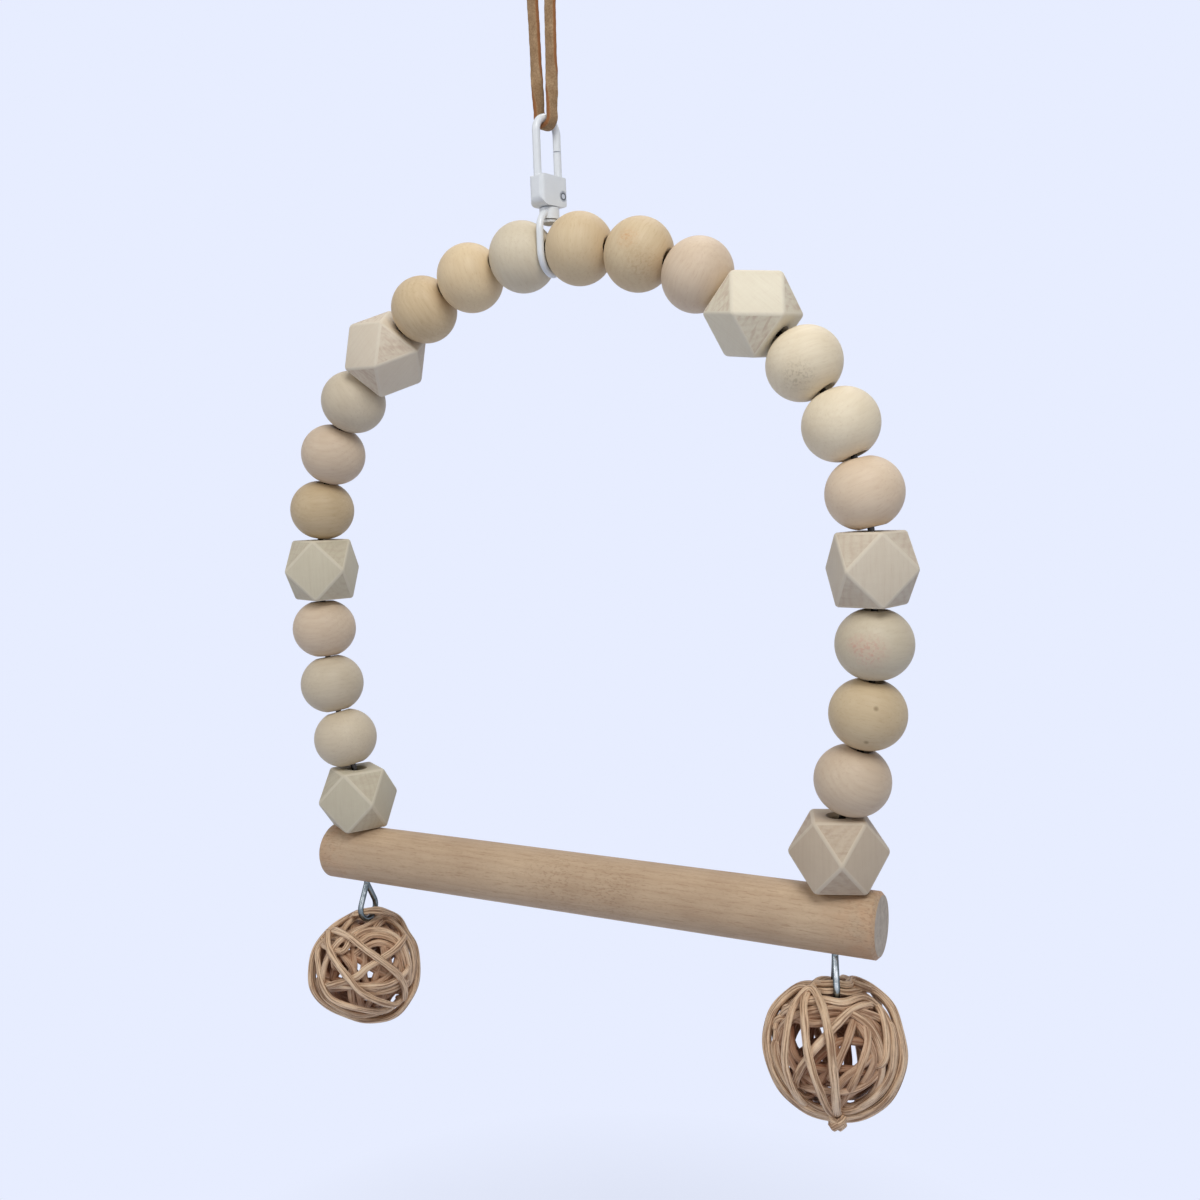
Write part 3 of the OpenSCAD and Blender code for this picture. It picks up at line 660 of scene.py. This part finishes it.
class Board:
    """Nodes of one tree, added and joined by name."""

    def __init__(self, tree):
        self.tree = tree

    def link(self, out, into):
        self.tree.links.new(out, into)

    def put(self, node, key, value):
        """Joins another node's output to an input, or sets a plain value on it."""
        if isinstance(value, bpy.types.NodeSocket):
            self.link(value, node.inputs[key])
        else:
            node.inputs[key].default_value = value

    def add(self, kind, values=None, **settings):
        node = self.tree.nodes.new(kind)
        for key, value in settings.items():
            setattr(node, key, value)
        for key, value in (values or {}).items():
            self.put(node, key, value)
        return node

    def mix(self, share, first, second):
        """The first colour where the share is 0, the second where it is 1."""
        values = {0: share, 6: first, 7: second}
        return self.add("ShaderNodeMix", values, data_type="RGBA").outputs[2]

    def math(self, operation, first, second=0.0, clamp=False):
        values = {0: first, 1: second}
        return self.add("ShaderNodeMath", values, operation=operation, use_clamp=clamp).outputs[0]

    def times(self, first, second):
        return self.math("MULTIPLY", first, second)

    def plus(self, first, second):
        return self.math("ADD", first, second)

    def higher(self, first, second):
        return self.math("MAXIMUM", first, second)

    def opposite(self, share):
        """1 where the share is 0, and 0 where it is 1."""
        return self.math("SUBTRACT", 1.0, share, clamp=True)

    def hypotenuse(self, first, second):
        squares = [self.math("POWER", side, 2.0) for side in (first, second)]
        return self.math("SQRT", self.plus(*squares))

    def step(self, value, low, high):
        """0 up to the low value, 1 from the high one on, and an even rise between."""
        values = {"Value": value, "From Min": low, "From Max": high}
        return self.add("ShaderNodeMapRange", values).outputs[0]

    def cover(self, values):
        for key, value in values.items():
            self.put(self.tree.nodes["Principled BSDF"], key, value)

    def bump(self, height, strength, distance):
        values = {"Height": height, "Strength": strength, "Distance": distance}
        self.cover({"Normal": self.add("ShaderNodeBump", values).outputs[0]})

    def here(self):
        return self.add("ShaderNodeTexCoord").outputs["Object"]

    def on_strand(self):
        """Place on a swept tube, round its section and along it in mm."""
        return self.add("ShaderNodeUVMap", uv_map="strand_map").outputs[0]

    def axes(self, place):
        return self.add("ShaderNodeSeparateXYZ", {"Vector": place}).outputs

    def scaled(self, place, scale):
        values = {0: place, 1: scale}
        return self.add("ShaderNodeVectorMath", values, operation="MULTIPLY").outputs[0]

    def noise(self, place, scale, detail=2.0, rough=0.5, distortion=0.0):
        return self.add("ShaderNodeTexNoise", {
            "Vector": place, "Scale": scale, "Detail": detail, "Roughness": rough,
            "Distortion": distortion}).outputs[0]

    def near(self, point, low, high):
        """1 round the point out to the first distance, falling to 0 at the second."""
        values = {0: self.here(), 1: tuple(point)}
        apart = self.add("ShaderNodeVectorMath", values, operation="DISTANCE").outputs["Value"]
        return self.opposite(self.step(apart, low, high))


def new_group(name, inputs, outputs):
    """An empty node group with its inputs and outputs, given as pairs of kind and labels."""
    group = bpy.data.node_groups.new(name, "ShaderNodeTree")
    for way, sockets in (("INPUT", inputs), ("OUTPUT", outputs)):
        for kind, labels in sockets:
            for label in labels.split():
                group.interface.new_socket(name=label, in_out=way, socket_type=kind)
    return group


def make_wood_group():
    """Bare sanded wood with its grain along X: growth rings about a heart far off to one side,
    short fibres and pores along the grain, and a cloudy change of tint."""
    group = new_group(
        "bare_wood",
        (("NodeSocketVector", "Place"), ("NodeSocketColor", "Pale Deep Line"),
         ("NodeSocketFloat", "Fibre Stretch Heart Rings Specks")),
        (("NodeSocketColor", "Colour"), ("NodeSocketFloat", "Height Pores")))
    b = Board(group)
    given = b.add("NodeGroupInput").outputs
    along = b.add("ShaderNodeCombineXYZ", {"X": given["Stretch"], "Y": 1.0, "Z": 1.0}).outputs[0]
    drawn = b.scaled(given["Place"], along)
    fibre = b.noise(drawn, given["Fibre"], 4.0, 0.65)
    cloud = b.noise(given["Place"], 75.0)
    sway = b.noise(drawn, 70.0, rough=0.4)
    axes = b.axes(given["Place"])
    reach = b.hypotenuse(b.plus(axes[1], given["Heart"]), axes[2])
    wave = b.math("SINE", b.times(b.plus(reach, b.times(sway, 0.011)), 3900.0))
    late = b.math("POWER", b.step(wave, -1.0, 1.0), 2.5)
    pores = b.step(b.noise(drawn, b.times(given["Fibre"], 2.0), rough=0.7), 0.58, 0.70)
    share = b.plus(b.times(b.step(fibre, 0.3, 0.7), 0.4), b.times(b.step(cloud, 0.32, 0.68), 0.6))
    tint = b.mix(share, given["Pale"], given["Deep"])
    lined = b.mix(b.times(late, given["Rings"]), tint, given["Line"])
    spotted = b.mix(b.times(pores, given["Specks"]), lined, given["Line"])
    raised = b.plus(b.times(fibre, 0.8), b.times(late, 0.25))
    height = b.math("SUBTRACT", raised, b.times(pores, 0.4))
    b.add("NodeGroupOutput", {"Colour": spotted, "Height": height, "Pores": pores})
    return group


def make_nap_group():
    """Fine soft specks at one scale, for nap, fibre ends and a dusty bloom."""
    group = new_group(
        "fine_nap", (("NodeSocketVector", "Place"), ("NodeSocketFloat", "Grain Patches")),
        (("NodeSocketFloat", "Specks Patch Height"),))
    b = Board(group)
    given = b.add("NodeGroupInput").outputs
    fine = b.noise(given["Place"], given["Grain"], 3.0, 0.65)
    broad = b.noise(given["Place"], given["Patches"], 3.0)
    b.add("NodeGroupOutput", {"Specks": b.step(fine, 0.35, 0.7), "Patch": b.step(broad, 0.32, 0.68),
                              "Height": fine})
    return group


BARE_WOOD = make_wood_group()
FINE_NAP = make_nap_group()


def new_finish(name, values):
    """A material with plain values on its surface, and the board of its nodes."""
    finish = bpy.data.materials.new(name)
    finish.use_nodes = True
    b = Board(finish.node_tree)
    b.cover(values)
    return finish, b


def nap_of(b, grain, patches):
    """Specks, patches and height of a nap all over the piece."""
    return b.add("ShaderNodeGroup", {"Place": b.here(), "Grain": grain, "Patches": patches},
                 node_tree=FINE_NAP).outputs


def wood_of(b, place, shades, fibre, stretch, heart, rings, specks):
    """Colour, height and pores of bare wood in its pale, deep and line shades."""
    pale, deep, line = shades
    return b.add("ShaderNodeGroup", {
        "Place": place, "Pale": pale, "Deep": deep, "Line": line, "Fibre": fibre,
        "Stretch": stretch, "Heart": heart, "Rings": rings, "Specks": specks},
        node_tree=BARE_WOOD).outputs


def placed(b, place):
    """Object coordinates seen from a piece's own place, so that its grain goes with it."""
    back = place.inverted()
    return b.add("ShaderNodeMapping", {
        "Vector": b.here(), "Location": back.to_translation(), "Rotation": back.to_euler()},
        vector_type="POINT").outputs[0]


# Pale, deep and line shades of the woods
WOODS = {
    "cream": ((226, 214, 190), (213, 198, 172), (196, 176, 146)),
    "rosy": ((222, 203, 179), (208, 186, 161), (190, 156, 128)),
    "honey": ((218, 198, 164), (204, 180, 144), (182, 150, 112)),
    "tan": ((208, 187, 153), (192, 168, 132), (168, 138, 102)),
    "grey": ((212, 199, 176), (198, 183, 160), (178, 158, 132)),
}
CUT_WOODS = {
    "warm": ((218, 207, 188), (205, 191, 171), (188, 160, 140)),
    "green": ((210, 202, 180), (197, 187, 164), (182, 166, 142)),
    "brown": ((214, 197, 175), (200, 182, 159), (180, 150, 126)),
    "ivory": ((218, 211, 192), (205, 195, 174), (186, 164, 142)),
}
# Wood of each faceted bead and how strongly the cutter has combed it
CUT_BEADS = {
    ("left", 1): ("green", 0.14), ("left", 5): ("green", 0.14), ("left", 9): ("warm", 0.4),
    ("right", 1): ("brown", 0.4), ("right", 5): ("warm", 0.14), ("right", 9): ("ivory", 0.4),
}
BEAD_RADIUS = 9 * MM
# Wood of each round bead and how pale it is painted: partly the bead's own tone and partly painted
# light, paler on several upper beads where the light falls stronger
ROUND_BEADS = {
    "left": {2: ("grey", 1.03), 3: ("grey", 1.0), 4: ("rosy", 0.99), 6: ("tan", 0.99),
             7: ("rosy", 0.98), 8: ("grey", 1.0), 10: ("tan", 1.04), 11: ("honey", 1.05),
             12: ("cream", 0.98)},
    "right": {2: ("rosy", 0.97), 3: ("honey", 0.97), 4: ("cream", 0.94), 6: ("rosy", 1.04),
              7: ("cream", 1.06), 8: ("cream", 1.06), 10: ("rosy", 1.01), 11: ("honey", 1.01),
              12: ("honey", 1.01)},
}
# Rough patches on single beads as seen from the camera: across and up as shares of the radius,
# reach in mm, and colour; and the places of dark pin knots
ROUGH_PATCHES = {
    ("right", 4): ((-0.10, -0.20, 5.0, (206, 160, 142)), (-0.45, -0.02, 3.0, (206, 160, 142))),
    ("right", 8): ((-0.15, -0.33, 5.5, (192, 176, 148)),),
    ("right", 11): ((0.10, -0.20, 5.5, (190, 160, 122)), (-0.30, 0.45, 3.4, (206, 158, 112))),
}
PIN_KNOTS = {("right", 3): ((0.20, 0.13), (-0.05, -0.72))}


def seen_spot(side, number, a, b):
    """Point on a round bead's front, across and up as shares of its radius seen from the camera."""
    middle = bead_place(side, number).translation
    toward = (bpy.context.scene.camera.location - middle).normalized()
    across, up = view_from(toward)
    front = math.sqrt(1 - a * a - b * b)
    return middle + (across * a + up * b + toward * front) * BEAD_RADIUS


def round_bead_finish(side, number):
    """Sanded bare wood, each bead turned a different way out of the plank."""
    place = (bead_place(side, number)
             @ turned("Z", (47 * number + 20 * SIGNS[side]) % 70 - 8)
             @ turned("Y", (number * 31) % 36 - 18) @ turned("X", 70 + (number * 17) % 40))
    # The gain is the bead's own tone and painted light together.
    kind, gain = ROUND_BEADS[side][number]
    finish, b = new_finish("bead_wood_%s_%02d" % (side, number), {"Specular IOR Level": 0.3})
    heart, rings = 0.016 + 0.004 * (number % 4), 0.03 + 0.035 * ((number + (side == "left")) % 3)
    wood = wood_of(b, placed(b, place), [lighter(shade, gain) for shade in WOODS[kind]],
                   1000.0, 0.12, heart, rings, 0.2)
    shade, height = wood["Colour"], wood["Height"]
    if (side, number) in ROUGH_PATCHES:
        fuzz = b.noise(b.here(), 1500.0, 3.0, distortion=0.6)
        torn = b.plus(b.times(b.step(fuzz, 0.5, 0.62), 0.5), 0.2)
        for a, up, reach, tint in ROUGH_PATCHES[side, number]:
            mask = b.near(seen_spot(side, number, a, up), 0.2 * reach * MM, reach * MM)
            shade = b.mix(b.times(torn, mask), shade, colour(*tint))
            height = b.plus(height, b.times(b.times(fuzz, mask), 5.0))
    for a, up in PIN_KNOTS.get((side, number), ()):
        knot = b.near(seen_spot(side, number, a, up), 0.25 * MM, 0.75 * MM)
        shade = b.mix(b.times(knot, 0.6), shade, colour(128, 104, 72))
    b.cover({"Base Color": shade, "Roughness": b.plus(b.times(wood["Pores"], 0.12), 0.5)})
    b.bump(height, 0.3, 0.00007)
    return finish


def faceted_bead_finish(side, number, place):
    """Paler cut wood, combed by the cutter on its faces, with a painted highlight along its eased
    edges and painted shade in its bore.
    """
    finish, b = new_finish("cut_wood_%s_%02d" % (side, number), {"Specular IOR Level": 0.3})
    spot = placed(b, place @ turned("Y", 90) @ turned("X", 20 * number))
    kind, combing = CUT_BEADS[side, number]
    pale = CUT_WOODS[kind][0]
    # Painted light: the bead's colours are made paler high on the arch and darker at its foot.
    gain = FACETED_BEADS[side][number][3]
    triangle = b.add("ShaderNodeAttribute", attribute_name="combed").outputs["Fac"]
    eased = b.add("ShaderNodeAttribute", attribute_name="eased").outputs["Fac"]
    wood = wood_of(b, spot, [lighter(shade, gain) for shade in CUT_WOODS[kind]], 1300.0, 0.07,
                   0.014 + 0.003 * (number % 3), b.plus(b.times(triangle, 0.16), 0.05), 0.18)
    comb = b.noise(b.scaled(spot, (1.0, 0.12, 0.35)), 1100.0, distortion=0.4)
    depth = b.plus(b.times(triangle, combing), 0.06)
    combed = b.mix(b.times(b.step(comb, 0.48, 0.66), depth), wood["Colour"],
                   lighter((180, 154, 135), gain))
    faced = b.mix(b.times(b.opposite(triangle), 0.3), combed,
                  lighter((pale[0] + 10, pale[1] + 9, pale[2] + 8), gain))
    # Painted highlight: the eased edges are made lighter.
    edge_highlight = b.mix(b.times(b.higher(eased, 0.0), 0.35), faced, colour(226, 217, 200))
    # Painted shade: the bore and its countersinks are made darker.
    hole = b.higher(b.times(eased, -1.0), 0.0)
    shade = b.mix(b.times(hole, 0.5), edge_highlight, colour(140, 120, 92))
    grooves = b.times(comb, b.plus(b.times(triangle, 1.6), 0.2))
    b.cover({"Base Color": shade, "Roughness": b.plus(b.times(comb, 0.15), 0.52)})
    b.bump(b.plus(wood["Height"], grooves), 0.4, 0.00009)
    return finish


def perch_finish():
    """The dowel: long grain with fine specks, and end grain in rings with a scorched rim."""
    finish, b = new_finish("dowel_wood", {"Specular IOR Level": 0.28})
    place = placed(b, Matrix.Translation((0, 0, PERCH_Z)))
    shades = (colour(205, 180, 151), colour(186, 160, 133), colour(158, 122, 94))
    wood = wood_of(b, place, shades, 1500.0, 0.075, 0.012, 0.14, 0.42)
    axes = b.axes(place)

    grain = b.noise(place, 480.0, 4.0, 0.6)
    end_tint = b.mix(b.step(grain, 0.32, 0.68), colour(200, 188, 171), colour(170, 155, 138))
    rim = b.step(b.hypotenuse(axes[1], axes[2]), 0.0066, 0.0077)
    rimmed = b.mix(b.times(rim, 0.45), end_tint, colour(192, 146, 106))

    toward_end = b.step(b.math("ABSOLUTE", axes[0]), 0.066, 0.0805)
    patches = b.times(b.step(b.noise(place, 240.0, 3.0), 0.35, 0.7), 0.6)
    flushed = b.mix(b.times(toward_end, patches), wood["Colour"], colour(200, 158, 124))
    rough = b.higher(b.near((-0.002, -0.0075, PERCH_Z + 0.002), 0.001, 0.012),
                     b.near((0.014, -0.0075, PERCH_Z + 0.001), 0.001, 0.012))
    rough = b.higher(b.plus(b.times(rough, 0.7), 0.3), toward_end)
    pits = b.noise(b.scaled(place, (0.45, 1.0, 1.0)), 2200.0)
    pitted = b.times(b.step(pits, 0.53, 0.63), rough)
    side = b.mix(b.times(pitted, 0.34), flushed, colour(150, 112, 84))

    facing = b.axes(b.add("ShaderNodeTexCoord").outputs["Normal"])[0]
    is_end = b.step(b.math("ABSOLUTE", facing), 0.75, 0.95)
    uneven = b.math("SUBTRACT", b.times(b.times(is_end, grain), 1.2), b.times(pitted, 1.5))
    b.cover({"Base Color": b.mix(is_end, side, rimmed),
             "Roughness": b.plus(b.times(wood["Pores"], 0.15), 0.56)})
    b.bump(b.plus(wood["Height"], uneven), 0.5, 0.00009)
    return finish


def rattan_finish():
    """Split rattan: long fibres along each strand, with painted shade, darker and redder, where it
    lies deep inside the ball.
    """
    finish, b = new_finish("split_rattan", {"Specular IOR Level": 0.3})
    run = b.on_strand()
    fibre = b.noise(b.scaled(run, (2.1, 0.1, 1.0)), 1.0, 5.0, 0.6)
    tint = b.noise(b.scaled(run, (0.35, 0.05, 1.0)), 1.0)
    nap = nap_of(b, 1700.0, 150.0)
    base = b.mix(b.step(tint, 0.36, 0.64), colour(250, 220, 188), colour(230, 196, 161))
    streak = b.mix(b.times(b.step(fibre, 0.48, 0.59), 0.85), base, colour(142, 104, 78))
    pale = b.mix(b.times(b.step(fibre, 0.45, 0.36), 0.6), streak, colour(246, 226, 198))
    speck = b.mix(b.times(nap["Specks"], 0.14), pale, colour(130, 94, 66))
    height = b.add("ShaderNodeAttribute", attribute_name="height").outputs["Fac"]
    # Painted shade: strands deep inside the ball are made darker and redder.
    deep = b.opposite(b.step(height, 0.15, 0.85))
    shade = b.mix(b.times(deep, 0.75), speck, colour(150, 90, 58))
    b.cover({"Base Color": shade, "Roughness": b.plus(b.times(nap["Specks"], 0.15), 0.55)})
    b.bump(b.opposite(fibre), 1.0, 0.0004)
    return finish


# Round the lace's section in mm: from the middle of a thin edge to the start of the section, and to
# the middle of a flat
EDGE_START, EDGE_TO_FLAT = 0.33, 2.07


def suede_finish():
    """Brown suede with a soft speckled nap, and the raw orange cut along its thin edges."""
    finish, b = new_finish("tan_suede", {
        "Specular IOR Level": 0.15, "Sheen Weight": 0.25, "Sheen Roughness": 0.5,
        "Sheen Tint": colour(220, 190, 160)})
    around = b.axes(b.on_strand())[0]
    nap = nap_of(b, 2300.0, 320.0)
    base = b.mix(nap["Patch"], colour(184, 154, 120), colour(158, 128, 96))
    napped = b.mix(b.times(nap["Specks"], 0.65), base, colour(108, 80, 52))
    from_edge = b.math("PINGPONG", b.plus(around, EDGE_START), EDGE_TO_FLAT)
    cut = b.opposite(b.step(from_edge, 0.35, 0.75))
    edged = b.mix(b.times(cut, 0.75), napped, colour(150, 90, 46))
    b.cover({"Base Color": edged, "Roughness": 0.92})
    b.bump(nap["Height"], 0.6, 0.00012)
    return finish


def lacquer_finish():
    """Thick white lacquer over a casting: a little orange peel and a faint grey bloom."""
    finish, b = new_finish("white_lacquer", {"Coat Weight": 0.3, "Coat Roughness": 0.2})
    nap = nap_of(b, 1400.0, 420.0)
    shade = b.mix(b.times(nap["Patch"], 0.25), colour(228, 232, 236), colour(214, 218, 222))
    b.cover({"Base Color": shade, "Roughness": b.plus(b.times(nap["Specks"], 0.1), 0.3)})
    b.bump(nap["Height"], 0.15, 0.00008)
    return finish


def coil_finish():
    """Drawn wire with a dull zinc coat in soft patches."""
    finish, b = new_finish("coil_steel", {"Metallic": 1.0})
    nap = nap_of(b, 1700.0, 520.0)
    shade = b.mix(nap["Patch"], colour(150, 154, 158), colour(120, 124, 128))
    b.cover({"Base Color": shade, "Roughness": b.plus(b.times(nap["Specks"], 0.15), 0.3)})
    b.bump(nap["Height"], 0.25, 0.00006)
    return finish


def pin_finish():
    """The pin's head: dull steel with a dark ring of painted shade near its rim."""
    finish, b = new_finish("pin_steel", {"Roughness": 0.35, "Metallic": 0.4})
    low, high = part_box("gate_pin")
    axes = b.axes(placed(b, Matrix.Translation((low + high) / 2)
                         @ Matrix.Rotation(CLASP_TURN, 4, "Z")))
    out = b.hypotenuse(axes[1], axes[2])
    # Painted shade: a dark ring where a groove runs round the pin's head.
    ring = b.times(b.step(out, 0.00055, 0.0007), b.opposite(b.step(out, 0.00092, 0.00105)))
    shade = b.mix(b.times(ring, 0.9), colour(206, 209, 212), colour(46, 50, 54))
    b.cover({"Base Color": shade})
    return finish


def wire_finish():
    """Drawn wire with painted light: a painted highlight along its eyes, a painted dark reflection
    on its flanks, and painted shade, nearly black, in the beads.
    """
    finish, b = new_finish("drawn_wire", {"Metallic": 0.9})
    nap = nap_of(b, 1700.0, 420.0)
    shade = b.mix(nap["Patch"], colour(158, 166, 164), colour(104, 114, 116))
    # Painted reflection: the colour is darker toward the flanks, as they turn away from the camera.
    flank = b.add("ShaderNodeLayerWeight", {"Blend": 0.35}).outputs["Facing"]
    shaded = b.mix(b.step(flank, 0.1, 0.42), shade, colour(52, 62, 66))
    # Painted highlight: a bright line down the wire's middle, only over the middle heights of the
    # eyes and broken by the patches.
    height = b.axes(b.here())[2]
    level = b.times(b.step(height, -0.2380, -0.2405), b.step(height, -0.2458, -0.2435))
    core = b.times(b.opposite(b.step(flank, 0.02, 0.11)), b.opposite(nap["Patch"]))
    painted_highlight = b.mix(b.times(core, level), shaded, colour(250, 252, 248))
    # Painted shade: the wire is nearly black from within the dowel up, where it runs through the
    # dowel and the beads.
    bead_shade = b.step(height, -0.234, -0.228)
    b.cover({"Base Color": b.mix(bead_shade, painted_highlight, colour(62, 58, 54)),
             "Roughness": b.plus(b.times(nap["Specks"], 0.08), 0.18)})
    b.bump(nap["Height"], 0.08, 0.00006)
    return finish


def dress(node, finish):
    """Gives a CAD node its finish."""
    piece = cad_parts[node]
    if not piece.material_slots:
        piece.data.materials.append(finish)
    for slot in piece.material_slots:
        slot.material = finish


# ---- floor, background and lamps

BACKGROUND = colour(231, 237, 255)
FLOOR_Z = -0.40
# Name, place, aim, size, power and tint of each lamp
LAMPS = (
    ("key_lamp", (0.24, -0.30, 0.28), (0.03, 0, -0.14), 0.30, 1.75, (1.0, 0.99, 0.965)),
    ("side_lamp", (-0.50, -0.65, 0.35), (0, 0, -0.14), 0.5, 1.9, (1.0, 0.985, 0.96)),
    ("fill_lamp", (0.9, -0.5, -0.05), (0, 0, -0.16), 0.8, 0.65, (0.96, 0.98, 1.0)),
    ("top_lamp", (0.05, 0.35, 0.55), (0, 0, -0.12), 0.5, 1.2, (1.0, 1.0, 1.0)),
)


def shown(b):
    """1 for rays that show the background, straight or mirrored, and 0 for those that light."""
    rays = b.add("ShaderNodeLightPath").outputs
    mirrored = b.higher(rays["Is Glossy Ray"], rays["Is Transmission Ray"])
    return b.higher(rays["Is Camera Ray"], mirrored)


def blend(b, share, first, second, output):
    """Mixes two shaders into a tree's output."""
    node = b.add("ShaderNodeMixShader", {0: share, 1: first.outputs[0], 2: second.outputs[0]})
    b.link(node.outputs[0], output.inputs[0])


def make_floor():
    """A pale floor well under the swing, with its soft shadow, that fades into the background."""
    deselect_all()
    bpy.ops.mesh.primitive_circle_add(vertices=64, radius=3, fill_type="NGON",
                                      location=(0, 0, FLOOR_Z))
    floor = bpy.context.object
    floor.name = "floor"
    bpy.ops.object.transform_apply()
    finish, b = new_finish("pale_floor", {
        "Base Color": BACKGROUND, "Roughness": 0.9, "Specular IOR Level": 0.0})
    glow = b.add("ShaderNodeEmission", {"Color": BACKGROUND, "Strength": 1.0})
    axes = b.axes(b.here())
    far = b.step(b.hypotenuse(axes[0], axes[1]), 0.02, 0.19)
    share = b.times(shown(b), b.plus(b.times(far, 0.45), 0.55))
    nodes = finish.node_tree.nodes
    blend(b, share, nodes["Principled BSDF"], glow, nodes["Material Output"])
    floor.data.materials.append(finish)


def make_background():
    """An even pale background that lights the swing only weakly."""
    world = bpy.data.worlds.new("studio")
    bpy.context.scene.world = world
    world.use_nodes = True
    b = Board(world.node_tree)
    fill = b.add("ShaderNodeBackground", {"Color": (1.0, 1.0, 1.0, 1), "Strength": 0.22})
    seen = b.add("ShaderNodeBackground", {"Color": BACKGROUND, "Strength": 1.0})
    output = world.node_tree.nodes.get("World Output") or b.add("ShaderNodeOutputWorld")
    blend(b, shown(b), fill, seen, output)


def make_lamps():
    for name, place, aim, size, power, tint in LAMPS:
        bpy.ops.object.light_add(type="AREA", location=place)
        lamp = bpy.context.object
        lamp.name = name
        lamp.data.shape = "DISK"
        lamp.data.size = size
        lamp.data.energy = power
        lamp.data.color = tint
        lamp.rotation_euler = (Vector(aim) - Vector(place)).to_track_quat("-Z", "Y").to_euler()


# ---- making

bpy.context.scene.view_settings.view_transform = "Standard"
aim_camera()

suede = suede_finish()
lace, lace_line = make_lace()
lace.data.materials.append(suede)
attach(lace, "lace")
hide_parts("lace")
knot = make_knot()
knot.data.materials.append(suede)
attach(knot, "lace")
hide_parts("lace_knot")

make_faceted_beads()

rattan = rattan_finish()
left_ball = make_ball("wound_ball_left", LEFT_RIM, LEFT_STRANDS, -HOLE_X, 18.2, -2.4, 0,
                      ((-0.75, -1.35), (0.8, -1.3)), 12, False)
right_ball = make_ball("wound_ball_right", RIGHT_RIM, RIGHT_STRANDS, HOLE_X, 15.2, -0.6, 20,
                       ((-0.85, -1.1), (0.0, 0.5), (0.9, -1.1)), 9, True)
for ball, side in ((left_ball, "left"), (right_ball, "right")):
    ball.data.materials.append(rattan)
    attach(ball, "ball_%s" % side)
    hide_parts("rattan_ball_%s" % side)

for side, beads in ROUND_BEADS.items():
    for number in beads:
        dress("bead_%s_%02d" % (side, number), round_bead_finish(side, number))
lacquer = lacquer_finish()
for node in ("clasp_body", "gate", "swivel_ring", "swivel_post"):
    dress(node, lacquer)
dress("perch", perch_finish())
dress("gate_pin", pin_finish())
dress("gate_coil", coil_finish())
dress("arch_wire", wire_finish())

make_floor()
make_background()
make_lamps()
deselect_all()
